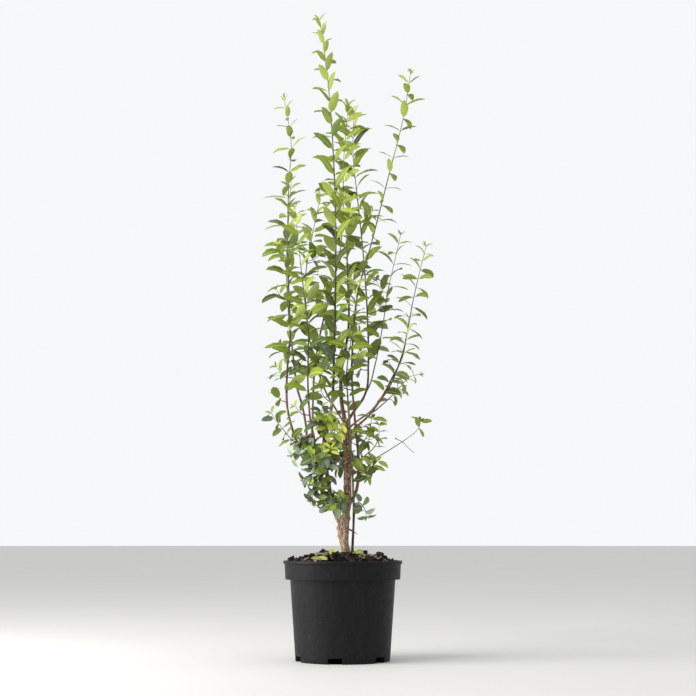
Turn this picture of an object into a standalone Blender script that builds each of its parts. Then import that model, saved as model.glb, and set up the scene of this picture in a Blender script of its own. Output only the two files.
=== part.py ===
"""A privet in a nursery pot: the pot, its compost, a short forked trunk, boughs and leafy upright shoots.

Metres, +Z up. The origin is the centre of the pot's flat underside, and -Y is the plant's front.
Each bough and each leafy shoot follows one smooth route through a few places. Leaves stand on the
shoots in opposite pairs, each pair turned a quarter round from the pair below it.
"""
import math
from collections import namedtuple

import bmesh
import bpy
import numpy as np
from mathutils import Vector
from mathutils.bvhtree import BVHTree

# Joints and clearances
CLEARANCE = 0.0003
HALF_GAP = CLEARANCE / 2

# Pot
POT_SIDES = 28
POT_HEIGHT = 0.231
POT_WALL = 0.0025
POT_FLOOR = 0.004
LIP_RADIUS = 0.140
LIP_HEIGHT = 0.0075
LIP_ROUND = 0.0015
BAND_TOP_RADIUS = 0.1370
BAND_FOOT_RADIUS = 0.1352
BAND_FOOT_HEIGHT = 0.1875
BODY_TOP_RADIUS = 0.1238
BASE_RADIUS = 0.1105
BASE_CHAMFER = 0.002
NOTCH_COUNT = 6
NOTCH_WIDTH = 0.032
NOTCH_HEIGHT = 0.013
NOTCH_DEPTH = 0.012
NOTCH_TURN = math.radians(-99)

# Compost
SOIL_HEIGHT = 0.238
SOIL_EDGE_HEIGHT = 0.223
SOIL_FLAT_RADIUS = 0.060
SOIL_LUMP = 0.0022
SOIL_CORNER = 0.013

# Routes of limbs and stems: a ring is at most this long and bends at most this much
ROUTE_STEP = 0.004
TRUNK_RING = (0.018, math.radians(20))
BOUGH_RING = (0.045, math.radians(18))
STEM_RING = (0.090, math.radians(26))
END_RING = 0.0015
TRUNK_RESOLUTION = 2
BOUGH_RESOLUTION = 1
SHARP_EDGE = math.radians(40)

# Stems and side twigs of the leafy shoots
TWIG_SIDES_SCALE = 1.25
FINEST_TWIG = 0.0009
SIDE_STEM_RADIUS = 0.0016
TWIG_ZONE = 0.7
TWIG_OFFSET = 0.6
TWIG_SCATTER = 0.2
TWIG_BARE = 0.3
TWIG_LEAF_SIZE = 0.85
TWIG_LENGTHS = (0.75, 1.15)
TWIG_TRIES = 8
TWIG_NEXT_TRY = math.radians(100)
TWIG_OUT_FIRST = 0.85
TWIG_OUT_LATER = 0.60
TWIG_ALONG = 0.35
TWIG_UP = 0.45

# Leaves, as shares of a leaf's length or of its stem's radius
LEAF_THICKNESS = 0.026
LEAF_WIDEST_AT = 0.42
ROOT_HEIGHT = 0.5
ROOT_HEIGHT_MOST = 0.0007
ROOT_OFFSET = 0.15
LEAF_TIP_SHARE = 0.5
LEAF_TAPER_ZONE = 0.28
SHORTER_LEAVES = (1.0, 0.82, 0.64)
FIRST_PAIR = 0.55
CLOSING_UP = 0.15

# How much the leaves vary: normal spreads in radians, and the least and most share of droop and length
TURN_SPREAD = 0.16
RISE_SPREAD = 0.13
TIP_RISE = 0.45
DROOPS = (0.7, 1.3)
LENGTHS = (0.86, 1.10)
LIGHT = Vector((-0.45, -0.80, 0.40)).normalized()

# The room that each shoot keeps to
SPACE_MARGIN = 0.0016
TWIG_MARGIN = 0.006
LIMB_MARGIN = 0.0018
LEAST_HEIGHT = 0.262

Limb = namedtuple("Limb", "name carrier places radii")
Shoot = namedtuple("Shoot", "name carrier places tip_radius habit")
Habit = namedtuple("Habit", "length width spacing bare turn rise droop facing twigs twig_length seed")


def habit(length, spacing=0.027, bare=0.0, turn=0, rise=38, droop=45, facing=0.5, width=0.38,
          twigs=0, twig_length=0.05, seed=1):
    """How one shoot bears its leaves: their size, spacing, angles in degrees, and its side twigs."""
    return Habit(length, width, spacing, bare, math.radians(turn), math.radians(rise),
                 math.radians(droop), facing, twigs, twig_length, seed)


# Limbs: the bare wood, each from the limb that carries it to its fork, tip or leafy part
LIMBS = (
    Limb("trunk", None,
         ((0.007, 0.000, 0.2383), (0.006, 0.000, 0.253), (0.004, 0.000, 0.279), (0.005, 0.000, 0.316),
          (0.009, 0.001, 0.347), (0.010, 0.002, 0.397), (0.009, 0.003, 0.453), (0.008, 0.001, 0.515),
          (0.007, 0.000, 0.566)),
         (0.0135, 0.0102, 0.0098, 0.0118, 0.0078, 0.0071, 0.0067, 0.0062, 0.0056)),
    Limb("left_stem", "trunk",
         ((0.004, 0.000, 0.303), (-0.016, -0.004, 0.338), (-0.027, -0.008, 0.375), (-0.037, -0.012, 0.432),
          (-0.043, -0.014, 0.486), (-0.042, -0.015, 0.538), (-0.030, -0.018, 0.576), (-0.025, -0.024, 0.612)),
         (0.0052, 0.0050, 0.0047, 0.0045, 0.0042, 0.0041, 0.0034, 0.0030)),
    Limb("thin_stem", None,
         ((0.021, -0.013, 0.2383), (0.024, -0.014, 0.288), (0.026, -0.016, 0.349), (0.024, -0.018, 0.407),
          (0.019, -0.018, 0.490), (0.016, -0.020, 0.550), (0.012, -0.024, 0.609)),
         (0.0023, 0.0019, 0.0018, 0.0018, 0.0017, 0.0017, 0.0017)),
    Limb("right_tall_bough", "trunk",
         ((0.011, 0.003, 0.354), (0.031, 0.011, 0.392), (0.037, 0.013, 0.445), (0.036, 0.009, 0.492),
          (0.031, 0.003, 0.539), (0.027, -0.006, 0.586), (0.022, -0.020, 0.648)),
         (0.0042, 0.0038, 0.0036, 0.0033, 0.0029, 0.0026, 0.0024)),
    Limb("centre_bough", "trunk",
         ((0.006, 0.001, 0.551), (-0.003, 0.003, 0.605), (-0.005, 0.006, 0.643), (-0.004, 0.008, 0.682)),
         (0.0050, 0.0047, 0.0044, 0.0040)),
    Limb("crossing_bough", "trunk",
         ((0.007, 0.001, 0.530), (0.002, 0.012, 0.557), (-0.013, 0.020, 0.584), (-0.036, 0.030, 0.623),
          (-0.067, 0.060, 0.709)),
         (0.0025, 0.0024, 0.0023, 0.0022, 0.0021)),
    Limb("right_rear_bough", "trunk",
         ((0.008, 0.001, 0.554), (0.030, 0.012, 0.590), (0.047, 0.024, 0.614), (0.057, 0.038, 0.639),
          (0.062, 0.066, 0.704)),
         (0.0034, 0.0032, 0.0030, 0.0026, 0.0023)),
    Limb("right_outer_bough", "trunk",
         ((0.008, 0.001, 0.522), (0.033, -0.014, 0.546), (0.064, -0.022, 0.574), (0.090, -0.027, 0.609),
          (0.108, -0.031, 0.635), (0.121, -0.034, 0.661)),
         (0.0027, 0.0025, 0.0023, 0.0022, 0.0021, 0.0020)),
    Limb("right_front_bough", "trunk",
         ((0.008, 0.000, 0.539), (0.032, -0.021, 0.557), (0.068, -0.048, 0.582), (0.098, -0.072, 0.622)),
         (0.0024, 0.0022, 0.0020, 0.0018)),
    Limb("left_arm", "left_stem",
         ((-0.040, -0.013, 0.449), (-0.056, -0.008, 0.463), (-0.079, -0.002, 0.481), (-0.092, 0.000, 0.506),
          (-0.101, 0.001, 0.531)),
         (0.0040, 0.0039, 0.0038, 0.0037, 0.0034)),
    Limb("left_outer_bough", "left_arm",
         ((-0.088, -0.001, 0.496), (-0.107, -0.008, 0.509), (-0.122, -0.014, 0.547), (-0.132, -0.018, 0.590),
          (-0.134, -0.022, 0.625)),
         (0.0030, 0.0029, 0.0028, 0.0027, 0.0026)),
    Limb("left_rear_bough", "left_arm",
         ((-0.087, -0.001, 0.493), (-0.088, 0.016, 0.544), (-0.099, 0.028, 0.602), (-0.111, 0.040, 0.644),
          (-0.118, 0.050, 0.691)),
         (0.0029, 0.0028, 0.0027, 0.0026, 0.0024)),
    Limb("left_front_bough", "left_arm",
         ((-0.067, -0.005, 0.472), (-0.067, -0.024, 0.513), (-0.075, -0.040, 0.550), (-0.080, -0.056, 0.596)),
         (0.0027, 0.0025, 0.0024, 0.0022)),
    Limb("inner_bough", "left_arm",
         ((-0.075, -0.003, 0.478), (-0.073, 0.010, 0.554), (-0.072, 0.016, 0.613), (-0.068, 0.022, 0.694)),
         (0.0028, 0.0026, 0.0024, 0.0022)),
    Limb("cut_stub", "left_stem",
         ((-0.039, -0.012, 0.447), (-0.024, -0.017, 0.466), (-0.010, -0.020, 0.484)),
         (0.0026, 0.0024, 0.0022)),
)

# Leafy shoots that grow on from the tips of boughs
TIP_SHOOTS = (
    Shoot("leader_shoot", "left_stem",
          ((-0.021, -0.050, 0.720), (-0.018, -0.062, 0.843), (-0.017, -0.060, 0.996), (-0.022, -0.046, 1.178),
           (-0.030, -0.032, 1.313), (-0.043, -0.020, 1.450), (-0.058, -0.012, 1.554)), 0.0009,
          habit(0.050, spacing=0.035, bare=0.015, turn=38, rise=52, droop=25, facing=1.6, width=0.46,
                twigs=3, seed=11)),
    Shoot("right_tall_shoot", "right_tall_bough",
          ((0.023, -0.036, 0.738), (0.034, -0.050, 0.853), (0.069, -0.060, 0.984), (0.113, -0.060, 1.158),
           (0.148, -0.058, 1.301), (0.164, -0.058, 1.401)), 0.0009,
          habit(0.037, spacing=0.034, bare=0.03, turn=4, rise=38, droop=42, facing=0.45, width=0.46,
                twigs=1, seed=12)),
    Shoot("centre_shoot", "centre_bough",
          ((0.006, 0.010, 0.734), (0.013, 0.012, 0.787), (0.011, 0.016, 0.926), (0.010, 0.018, 1.026),
           (0.020, 0.018, 1.103)), 0.0012,
          habit(0.048, spacing=0.036, bare=0.01, turn=20, rise=42, droop=45, facing=1.4, width=0.46,
                twigs=2, seed=13)),
    Shoot("rear_left_shoot", "crossing_bough",
          ((-0.085, 0.092, 0.782), (-0.094, 0.112, 0.873), (-0.093, 0.120, 0.951), (-0.079, 0.120, 1.033),
           (-0.058, 0.114, 1.138)), 0.0009,
          habit(0.045, spacing=0.036, turn=60, rise=42, droop=50, facing=1.2, width=0.46, twigs=1,
                seed=14)),
    Shoot("rear_shoot", "right_rear_bough",
          ((0.061, 0.104, 0.821), (0.053, 0.124, 0.965), (0.036, 0.124, 1.140), (0.025, 0.114, 1.247),
           (0.027, 0.106, 1.355)), 0.0009,
          habit(0.046, spacing=0.037, bare=0.01, turn=15, rise=44, droop=45, facing=1.3, width=0.46,
                twigs=1, seed=15)),
    Shoot("right_outer_shoot", "right_outer_bough",
          ((0.135, -0.038, 0.697), (0.145, -0.040, 0.729), (0.155, -0.043, 0.778), (0.167, -0.044, 0.842),
           (0.185, -0.038, 0.919), (0.200, -0.031, 0.978)), 0.0009,
          habit(0.037, spacing=0.025, turn=5, rise=30, droop=60, facing=0.6, width=0.44, seed=16)),
    Shoot("right_front_shoot", "right_front_bough",
          ((0.117, -0.094, 0.658), (0.136, -0.110, 0.692), (0.148, -0.118, 0.746), (0.153, -0.120, 0.792)),
          0.0009,
          habit(0.036, spacing=0.025, turn=35, rise=32, droop=55, facing=0.8, width=0.46, seed=17)),
    Shoot("left_outer_shoot", "left_outer_bough",
          ((-0.131, -0.026, 0.704), (-0.126, -0.028, 0.764), (-0.129, -0.030, 0.848), (-0.133, -0.030, 0.971),
           (-0.132, -0.028, 1.120), (-0.127, -0.026, 1.245), (-0.143, -0.022, 1.346)), 0.0009,
          habit(0.046, spacing=0.035, turn=2, rise=22, droop=34, facing=2.2, width=0.42, twigs=1, seed=18)),
    Shoot("left_rear_shoot", "left_rear_bough",
          ((-0.126, 0.062, 0.758), (-0.135, 0.072, 0.842), (-0.140, 0.074, 0.963), (-0.135, 0.068, 1.081),
           (-0.129, 0.058, 1.165)), 0.0009,
          habit(0.046, spacing=0.036, turn=25, rise=36, droop=48, facing=1.4, width=0.46, twigs=1,
                seed=19)),
    Shoot("left_front_shoot", "left_front_bough",
          ((-0.082, -0.072, 0.647), (-0.081, -0.104, 0.765), (-0.092, -0.112, 0.858), (-0.103, -0.108, 0.957),
           (-0.114, -0.100, 1.058)), 0.0009,
          habit(0.044, spacing=0.035, turn=35, rise=38, droop=45, facing=1.8, width=0.46, twigs=1,
                seed=20)),
    Shoot("inner_shoot", "inner_bough",
          ((-0.055, 0.040, 0.780), (-0.034, 0.062, 0.872), (-0.010, 0.074, 0.972), (0.000, 0.076, 1.092),
           (0.001, 0.068, 1.209), (0.013, 0.058, 1.358)), 0.0009,
          habit(0.048, spacing=0.037, bare=0.01, turn=50, rise=42, droop=42, facing=1.4, width=0.46,
                twigs=2, seed=21)),
    Shoot("front_shoot", "thin_stem",
          ((0.009, -0.064, 0.665), (0.018, -0.104, 0.733), (0.030, -0.122, 0.790), (0.030, -0.128, 0.890)),
          0.0009,
          habit(0.045, spacing=0.034, bare=0.01, turn=15, rise=40, droop=55, facing=1.2, width=0.46,
                twigs=1, seed=22)),
)

# Leafy shoots that grow from the side of a limb
SIDE_SHOOTS = (
    Shoot("right_mid_shoot", "right_rear_bough",
          ((0.053, 0.031, 0.627), (0.064, 0.036, 0.649), (0.078, 0.050, 0.701), (0.098, 0.070, 0.803),
           (0.113, 0.078, 0.899), (0.126, 0.078, 0.956), (0.143, 0.074, 1.030)), 0.0009,
          habit(0.040, spacing=0.033, bare=0.05, turn=5, rise=40, droop=50, facing=0.8, width=0.46,
                seed=31)),
    Shoot("right_low_shoot", "right_outer_bough",
          ((0.064, -0.022, 0.574), (0.082, -0.004, 0.589), (0.109, 0.014, 0.614), (0.138, 0.030, 0.645),
           (0.168, 0.042, 0.674), (0.186, 0.048, 0.678)), 0.0009,
          habit(0.033, spacing=0.022, bare=0.055, turn=70, rise=20, droop=60, facing=0.7,
                width=0.46, seed=32)),
    Shoot("bare_right_twig", "right_tall_bough",
          ((0.038, 0.012, 0.426), (0.059, 0.004, 0.452), (0.075, -0.002, 0.469), (0.103, -0.010, 0.486),
           (0.130, -0.015, 0.503), (0.157, -0.018, 0.521), (0.181, -0.020, 0.544), (0.185, -0.020, 0.557)),
          0.0010,
          habit(0.029, spacing=0.016, bare=0.172, turn=15, rise=-5, droop=40, facing=0.2,
                width=0.32, seed=33)),
    Shoot("right_fan", "right_tall_bough",
          ((0.037, 0.011, 0.460), (0.052, -0.002, 0.477), (0.072, -0.014, 0.494), (0.084, -0.022, 0.516),
           (0.086, -0.028, 0.548)), 0.0010,
          habit(0.032, spacing=0.020, bare=0.022, turn=40, rise=8, droop=55, facing=0.5, width=0.42,
                twigs=3, twig_length=0.034, seed=34)),
    Shoot("right_drooping_twig", "thin_stem",
          ((0.026, -0.016, 0.363), (0.038, -0.021, 0.366), (0.050, -0.024, 0.354), (0.056, -0.026, 0.335)),
          0.0009,
          habit(0.026, spacing=0.013, bare=0.008, turn=60, rise=10, droop=50, facing=1.2, width=0.6,
                seed=35)),
    Shoot("left_low_twig", "left_arm",
          ((-0.081, -0.002, 0.484), (-0.100, -0.028, 0.498), (-0.122, -0.042, 0.515),
           (-0.142, -0.048, 0.539), (-0.160, -0.048, 0.562), (-0.168, -0.046, 0.575)), 0.0009,
          habit(0.033, spacing=0.017, bare=0.055, turn=20, rise=14, droop=38, facing=2.2, width=0.58,
                seed=36)),
    Shoot("left_side_cluster", "left_arm",
          ((-0.071, -0.003, 0.475), (-0.088, -0.022, 0.482), (-0.104, -0.034, 0.484),
           (-0.117, -0.040, 0.476)), 0.0009,
          habit(0.030, spacing=0.017, bare=0.016, turn=30, rise=15, droop=45, facing=1.8, width=0.58,
                twigs=3, twig_length=0.032, seed=37)),
    Shoot("left_lower_cluster", "left_stem",
          ((-0.036, -0.012, 0.424), (-0.050, -0.028, 0.424), (-0.068, -0.036, 0.424),
           (-0.084, -0.036, 0.416)), 0.0009,
          habit(0.031, spacing=0.016, bare=0.010, turn=50, rise=18, droop=45, facing=1.8, width=0.58,
                twigs=4, twig_length=0.034, seed=38)),
    Shoot("front_cluster", "left_stem",
          ((-0.041, -0.013, 0.464), (-0.049, -0.034, 0.472), (-0.060, -0.050, 0.478),
           (-0.072, -0.058, 0.490)), 0.0009,
          habit(0.032, spacing=0.016, bare=0.010, turn=10, rise=22, droop=40, facing=2.2, width=0.6,
                twigs=4, twig_length=0.042, seed=39)),
    Shoot("yellow_cluster", "left_stem",
          ((-0.043, -0.015, 0.509), (-0.034, -0.036, 0.520), (-0.020, -0.050, 0.530),
           (-0.008, -0.058, 0.546)), 0.0009,
          habit(0.031, spacing=0.015, bare=0.010, turn=30, rise=25, droop=45, facing=2.0, width=0.55,
                twigs=4, twig_length=0.042, seed=40)),
    Shoot("trunk_cluster", "left_stem",
          ((-0.020, -0.005, 0.349), (-0.022, -0.024, 0.360), (-0.014, -0.038, 0.366),
           (-0.002, -0.044, 0.368)), 0.0009,
          habit(0.026, spacing=0.012, bare=0.008, turn=15, rise=10, droop=55, facing=2.2, width=0.6,
                twigs=2, twig_length=0.026, seed=41)),
    Shoot("left_fork_cluster", "left_stem",
          ((-0.043, -0.015, 0.530), (-0.048, -0.036, 0.548), (-0.050, -0.054, 0.566),
           (-0.048, -0.068, 0.590)), 0.0009,
          habit(0.031, spacing=0.016, bare=0.012, turn=20, rise=25, droop=45, facing=2.0, width=0.5,
                twigs=3, twig_length=0.040, seed=44)),
    Shoot("left_bottom_cluster", "left_stem",
          ((-0.029, -0.009, 0.386), (-0.043, -0.024, 0.388), (-0.057, -0.032, 0.383),
           (-0.068, -0.034, 0.372)), 0.0009,
          habit(0.030, spacing=0.016, bare=0.012, turn=40, rise=15, droop=45, facing=2.0, width=0.52,
                twigs=2, twig_length=0.030, seed=55)),
    Shoot("right_side_cluster", "right_tall_bough",
          ((0.036, 0.009, 0.497), (0.050, -0.012, 0.512), (0.062, -0.026, 0.532), (0.068, -0.034, 0.562)),
          0.0009,
          habit(0.033, spacing=0.019, bare=0.014, turn=30, rise=20, droop=60, facing=1.2, width=0.46,
                twigs=4, twig_length=0.036, seed=46)),
    Shoot("right_low_cluster", "thin_stem",
          ((0.024, -0.018, 0.430), (0.034, -0.034, 0.440), (0.045, -0.042, 0.442), (0.054, -0.044, 0.432)),
          0.0009,
          habit(0.031, spacing=0.016, bare=0.010, turn=10, rise=5, droop=60, facing=1.4, width=0.44,
                twigs=2, twig_length=0.028, seed=47)),
    Shoot("rear_low_cluster", "trunk",
          ((0.009, 0.003, 0.437), (0.000, 0.026, 0.455), (-0.015, 0.046, 0.472), (-0.023, 0.060, 0.493)),
          0.0009,
          habit(0.030, spacing=0.017, bare=0.012, turn=25, rise=20, droop=45, facing=-0.8, width=0.56,
                twigs=3, twig_length=0.040, seed=42)),
    Shoot("rear_right_cluster", "trunk",
          ((0.008, 0.001, 0.506), (0.024, 0.026, 0.520), (0.039, 0.048, 0.532), (0.047, 0.062, 0.551)),
          0.0009,
          habit(0.030, spacing=0.017, bare=0.012, turn=45, rise=20, droop=45, facing=-0.8, width=0.54,
                twigs=3, twig_length=0.036, seed=43)),
)

# Colours and roughness
POT_PLASTIC = ((0.030, 0.032, 0.033), 0.55)
COMPOST = ((0.040, 0.024, 0.016), 0.95)
TRUNK_BARK = ((0.34, 0.24, 0.16), 0.85)
BOUGH_BARK = ((0.15, 0.085, 0.050), 0.80)
TALL_SHOOT_GREEN = ((0.20, 0.34, 0.045), 0.45)
SIDE_SHOOT_GREEN = ((0.11, 0.24, 0.055), 0.45)


def material(name, finish):
    """A plain Principled material of one colour and roughness."""
    colour, roughness = finish
    result = bpy.data.materials.new(name)
    result.use_nodes = True
    shader = result.node_tree.nodes["Principled BSDF"]
    shader.inputs["Base Color"].default_value = (*colour, 1.0)
    shader.inputs["Roughness"].default_value = roughness
    shader.inputs["Metallic"].default_value = 0.0
    result.diffuse_color = (*colour, 1.0)
    return result


def collection(name):
    result = bpy.data.collections.new(name)
    bpy.context.scene.collection.children.link(result)
    return result


def add_object(name, data, home, finish=None):
    """Put a mesh or curve into a collection as an object, with a material of its own if it has a finish."""
    result = bpy.data.objects.new(name, data)
    home.objects.link(result)
    if finish:
        data.materials.append(material(name, finish))
    return result


def as_guide(piece):
    piece.hide_render = True
    piece.display_type = "WIRE"
    return piece


def evaluated_mesh(piece):
    bpy.context.view_layer.update()
    graph = bpy.context.evaluated_depsgraph_get()
    return bpy.data.meshes.new_from_object(piece.evaluated_get(graph))


def edited(mesh, change):
    """Apply a change, written for bmesh, to a mesh."""
    working = bmesh.new()
    working.from_mesh(mesh)
    change(working)
    working.to_mesh(mesh)
    working.free()
    return mesh


def outward(working):
    bmesh.ops.recalc_face_normals(working, faces=working.faces)


def shaded(mesh):
    """Shade a round piece smooth, with its corners sharp."""
    mesh.shade_smooth()
    mesh.set_sharp_from_angle(angle=SHARP_EDGE)


def is_closed(mesh):
    edges = [key for face in mesh.polygons for key in face.edge_keys]
    return 0 < len(edges) == 2 * len(set(edges))


def boolean(piece, operation, cutter):
    """A live Boolean by an object or a collection, with MANIFOLD where EXACT leaves the piece open."""
    step = piece.modifiers.new(operation.lower(), "BOOLEAN")
    step.operation = operation
    if isinstance(cutter, bpy.types.Collection):
        step.operand_type = "COLLECTION"
        step.collection = cutter
    else:
        step.object = cutter
    for solver in ("EXACT", "MANIFOLD"):
        step.solver = solver
        trial = evaluated_mesh(piece)
        sound = is_closed(trial)
        bpy.data.meshes.remove(trial)
        if sound:
            break


def turned(name, profile, home, finish=None):
    """A profile of (radius, height) points turned once round the Z axis."""
    mesh = bpy.data.meshes.new(name)
    points = [(radius, 0.0, height) for radius, height in profile]
    mesh.from_pydata(points, [(k, k + 1) for k in range(len(points) - 1)], [])
    piece = add_object(name, mesh, home, finish)
    screw = piece.modifiers.new("turn", "SCREW")
    screw.steps = POT_SIDES
    screw.render_steps = POT_SIDES
    screw.use_merge_vertices = True
    screw.merge_threshold = 0.00005
    solid = evaluated_mesh(piece)
    solid.name = name
    piece.modifiers.clear()
    piece.data = solid
    shaded(edited(solid, outward))
    return piece


def distance_along(route):
    return np.concatenate(([0.0], np.cumsum(np.linalg.norm(np.diff(route, axis=0), axis=1))))


def points_at(route, distances):
    along = distance_along(route)
    return np.stack([np.interp(distances, along, route[:, axis]) for axis in range(3)], axis=-1)


def smooth_route(places):
    """Points ROUTE_STEP apart on a curve through the places, smooth at each of them."""
    knots = np.array(places, dtype=float)
    at = distance_along(knots)
    slopes = np.gradient(knots, at, axis=0)
    fine = np.linspace(0.0, at[-1], 600)
    k = np.clip(np.searchsorted(at, fine, side="right") - 1, 0, len(at) - 2)
    span = (at[k + 1] - at[k])[:, None]
    u = (fine - at[k])[:, None] / span
    curve = ((2 * u**3 - 3 * u**2 + 1) * knots[k] + (u**3 - 2 * u**2 + u) * span * slopes[k]
             + (3 * u**2 - 2 * u**3) * knots[k + 1] + (u**3 - u**2) * span * slopes[k + 1])
    return fine_points(curve)


def radii_along(route, places, radii):
    """The radius at each point of a route, from the radii at its places."""
    nearest = [place_on(route, place) for place in places]
    return np.interp(distance_along(route), nearest, radii)


def place_on(route, place):
    """The distance along a route at which it passes a place."""
    return distance_along(route)[int(np.argmin(np.linalg.norm(route - np.array(place), axis=1)))]


def fine_points(route):
    """Points ROUTE_STEP apart along a route."""
    length = distance_along(route)[-1]
    return points_at(route, np.linspace(0.0, length, max(2, round(length / ROUTE_STEP)) + 1))


def on_axis(route, place):
    """The point on a route that is nearest to a place."""
    fine = fine_points(route)
    return fine[int(np.argmin(np.linalg.norm(fine - np.array(place), axis=1)))]


def stretch(route, radii, start, end, ring, square_start=False, square_end=False):
    """Rings for the part of a route between two distances, closer together where it bends.

    A squared end has one more ring just inside it, so that its cut lies square across the route.
    """
    longest, most_bend = ring
    along = distance_along(route)
    steps = np.diff(route, axis=0) / np.diff(along)[:, None]
    bends = np.arccos(np.clip((steps[1:] * steps[:-1]).sum(axis=1), -1.0, 1.0))
    effort = along / longest + np.concatenate(([0.0], np.cumsum(bends), [bends.sum()])) / most_bend
    first, last = np.interp((start, end), along, effort)
    count = max(2, math.ceil(last - first) + 1)
    at = np.interp(np.linspace(first, last, count), effort, along)
    at[0], at[-1] = start, end
    insides = [start + END_RING] * square_start + [end - END_RING] * square_end
    at = np.sort(np.concatenate((at, insides)))
    return points_at(route, at), np.interp(at, along, radii)


def grown_routes():
    """The rings of every limb and every shoot's stem, as places and radii.

    Each starts on the axis of its carrier, at the point nearest to its first place. A bough and the
    shoot on its tip share one route, parted by a clearance at the bough's last place.
    """
    tips = {shoot.carrier: shoot for shoot in TIP_SHOOTS}
    routes = {}
    for limb in LIMBS:
        shoot = tips.get(limb.name)
        places, radii = limb.places, limb.radii
        if limb.carrier:
            places = (on_axis(routes[limb.carrier][0], places[0]), *places[1:])
        if shoot:
            places += shoot.places
            radii += tuple(np.linspace(limb.radii[-1], shoot.tip_radius, len(shoot.places) + 1)[1:])
        route = smooth_route(places)
        radii = radii_along(route, places, radii)
        length = distance_along(route)[-1]
        ring = TRUNK_RING if limb.name == "trunk" else BOUGH_RING
        if shoot:
            split = place_on(route, limb.places[-1])
            routes[limb.name] = stretch(route, radii, 0.0, split - HALF_GAP, ring, square_end=True)
            routes[shoot.name] = stretch(route, radii, split + HALF_GAP, length, STEM_RING, square_start=True)
        else:
            routes[limb.name] = stretch(route, radii, 0.0, length, ring)
    for shoot in SIDE_SHOOTS:
        route = smooth_route((on_axis(routes[shoot.carrier][0], shoot.places[0]), *shoot.places[1:]))
        radii = np.linspace(SIDE_STEM_RADIUS, shoot.tip_radius, len(route))
        routes[shoot.name] = stretch(route, radii, 0.0, distance_along(route)[-1], STEM_RING)
    return routes


def tube(name, route, radii, home, section, finish=None):
    """A tapering limb through rings, with closed ends: round at a resolution, or of a section's outline."""
    data = bpy.data.curves.new(name, "CURVE")
    data.dimensions = "3D"
    data.twist_mode = "MINIMUM"
    data.use_fill_caps = True
    if isinstance(section, bpy.types.Object):
        data.bevel_mode = "OBJECT"
        data.bevel_object = section
    else:
        data.bevel_depth = 1.0
        data.bevel_resolution = section
    spline = data.splines.new("POLY")
    spline.points.add(len(route) - 1)
    for point, place, radius in zip(spline.points, route, radii):
        point.co = (*place, 1.0)
        point.radius = radius
    bent = add_object(name + "_curve", data, home)
    mesh = evaluated_mesh(bent)
    mesh.name = name
    bpy.data.objects.remove(bent)
    edited(mesh, lambda working: bmesh.ops.remove_doubles(working, verts=working.verts, dist=0.00001))
    edited(mesh, outward)
    if isinstance(section, int):
        shaded(mesh)
    return add_object(name, mesh, home, finish)


def level_foot(piece, height):
    """Set the lowest ring of a stem level, as a flat cut."""
    lowest = min(vertex.co.z for vertex in piece.data.vertices)
    for vertex in piece.data.vertices:
        if vertex.co.z < lowest + 0.002:
            vertex.co.z = height


def limb_tube(name, limb, routes, home, finish=None, fatter=0.0):
    route, radii = routes[limb]
    resolution = TRUNK_RESOLUTION if limb == "trunk" else BOUGH_RESOLUTION
    return tube(name, route, radii + fatter, home, resolution, finish)


def cut_clear(piece, carrier, routes, cutters):
    """Cut a piece's foot clear of the limb that carries it, by that limb made a clearance fatter."""
    name = carrier + "_clearance"
    cutter = cutters.objects.get(name) or as_guide(
        limb_tube(name, carrier, routes, cutters, fatter=CLEARANCE / math.cos(math.pi / 6)))
    boolean(piece, "DIFFERENCE", cutter)


def side_frame(tangent):
    """A stem's direction and two directions across it, the first of them nearest to +X."""
    tangent = Vector(tangent).normalized()
    first = (Vector((1.0, 0.0, 0.0)) - tangent * tangent.x).normalized()
    return tangent, first, tangent.cross(first)


class Stem:
    """One leafy stem: its rings, and its place, direction and radius at any distance along them."""

    def __init__(self, route, radii):
        self.route = route
        self.radii = radii
        self.along = distance_along(route)
        self.length = self.along[-1]
        self.tangents = np.gradient(route, self.along, axis=0)
        self.points = fine_points(route)

    def at(self, distance):
        place, tangent = (Vector([np.interp(distance, self.along, values[:, axis]) for axis in range(3)])
                          for values in (self.route, self.tangents))
        return place, tangent, float(np.interp(distance, self.along, self.radii))


class Space:
    """The room that each shoot keeps to: nearer to its own stems than to others', and clear of limbs."""

    def __init__(self, stems, limbs):
        self.stems = stems
        self.limb_points = np.concatenate([fine_points(route) for route, radii in limbs])
        self.limb_radii = np.concatenate([
            np.interp(distance_along(fine_points(route)), distance_along(route), radii)
            for route, radii in limbs])

    def distance(self, points, owners):
        routes = np.concatenate([stem.points for owner in owners for stem in self.stems[owner]])
        return np.linalg.norm(points[:, None, :] - routes[None, :, :], axis=2).min(axis=1)

    def holds(self, owner, points, margin=SPACE_MARGIN):
        points = np.array(points)
        others = [name for name in self.stems if name != owner]
        spare = self.distance(points, others) - self.distance(points, [owner])
        wood = np.linalg.norm(points[:, None, :] - self.limb_points[None, :, :], axis=2) - self.limb_radii
        return spare.min() > margin and wood.min() > LIMB_MARGIN and points[:, 2].min() > LEAST_HEIGHT


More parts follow.
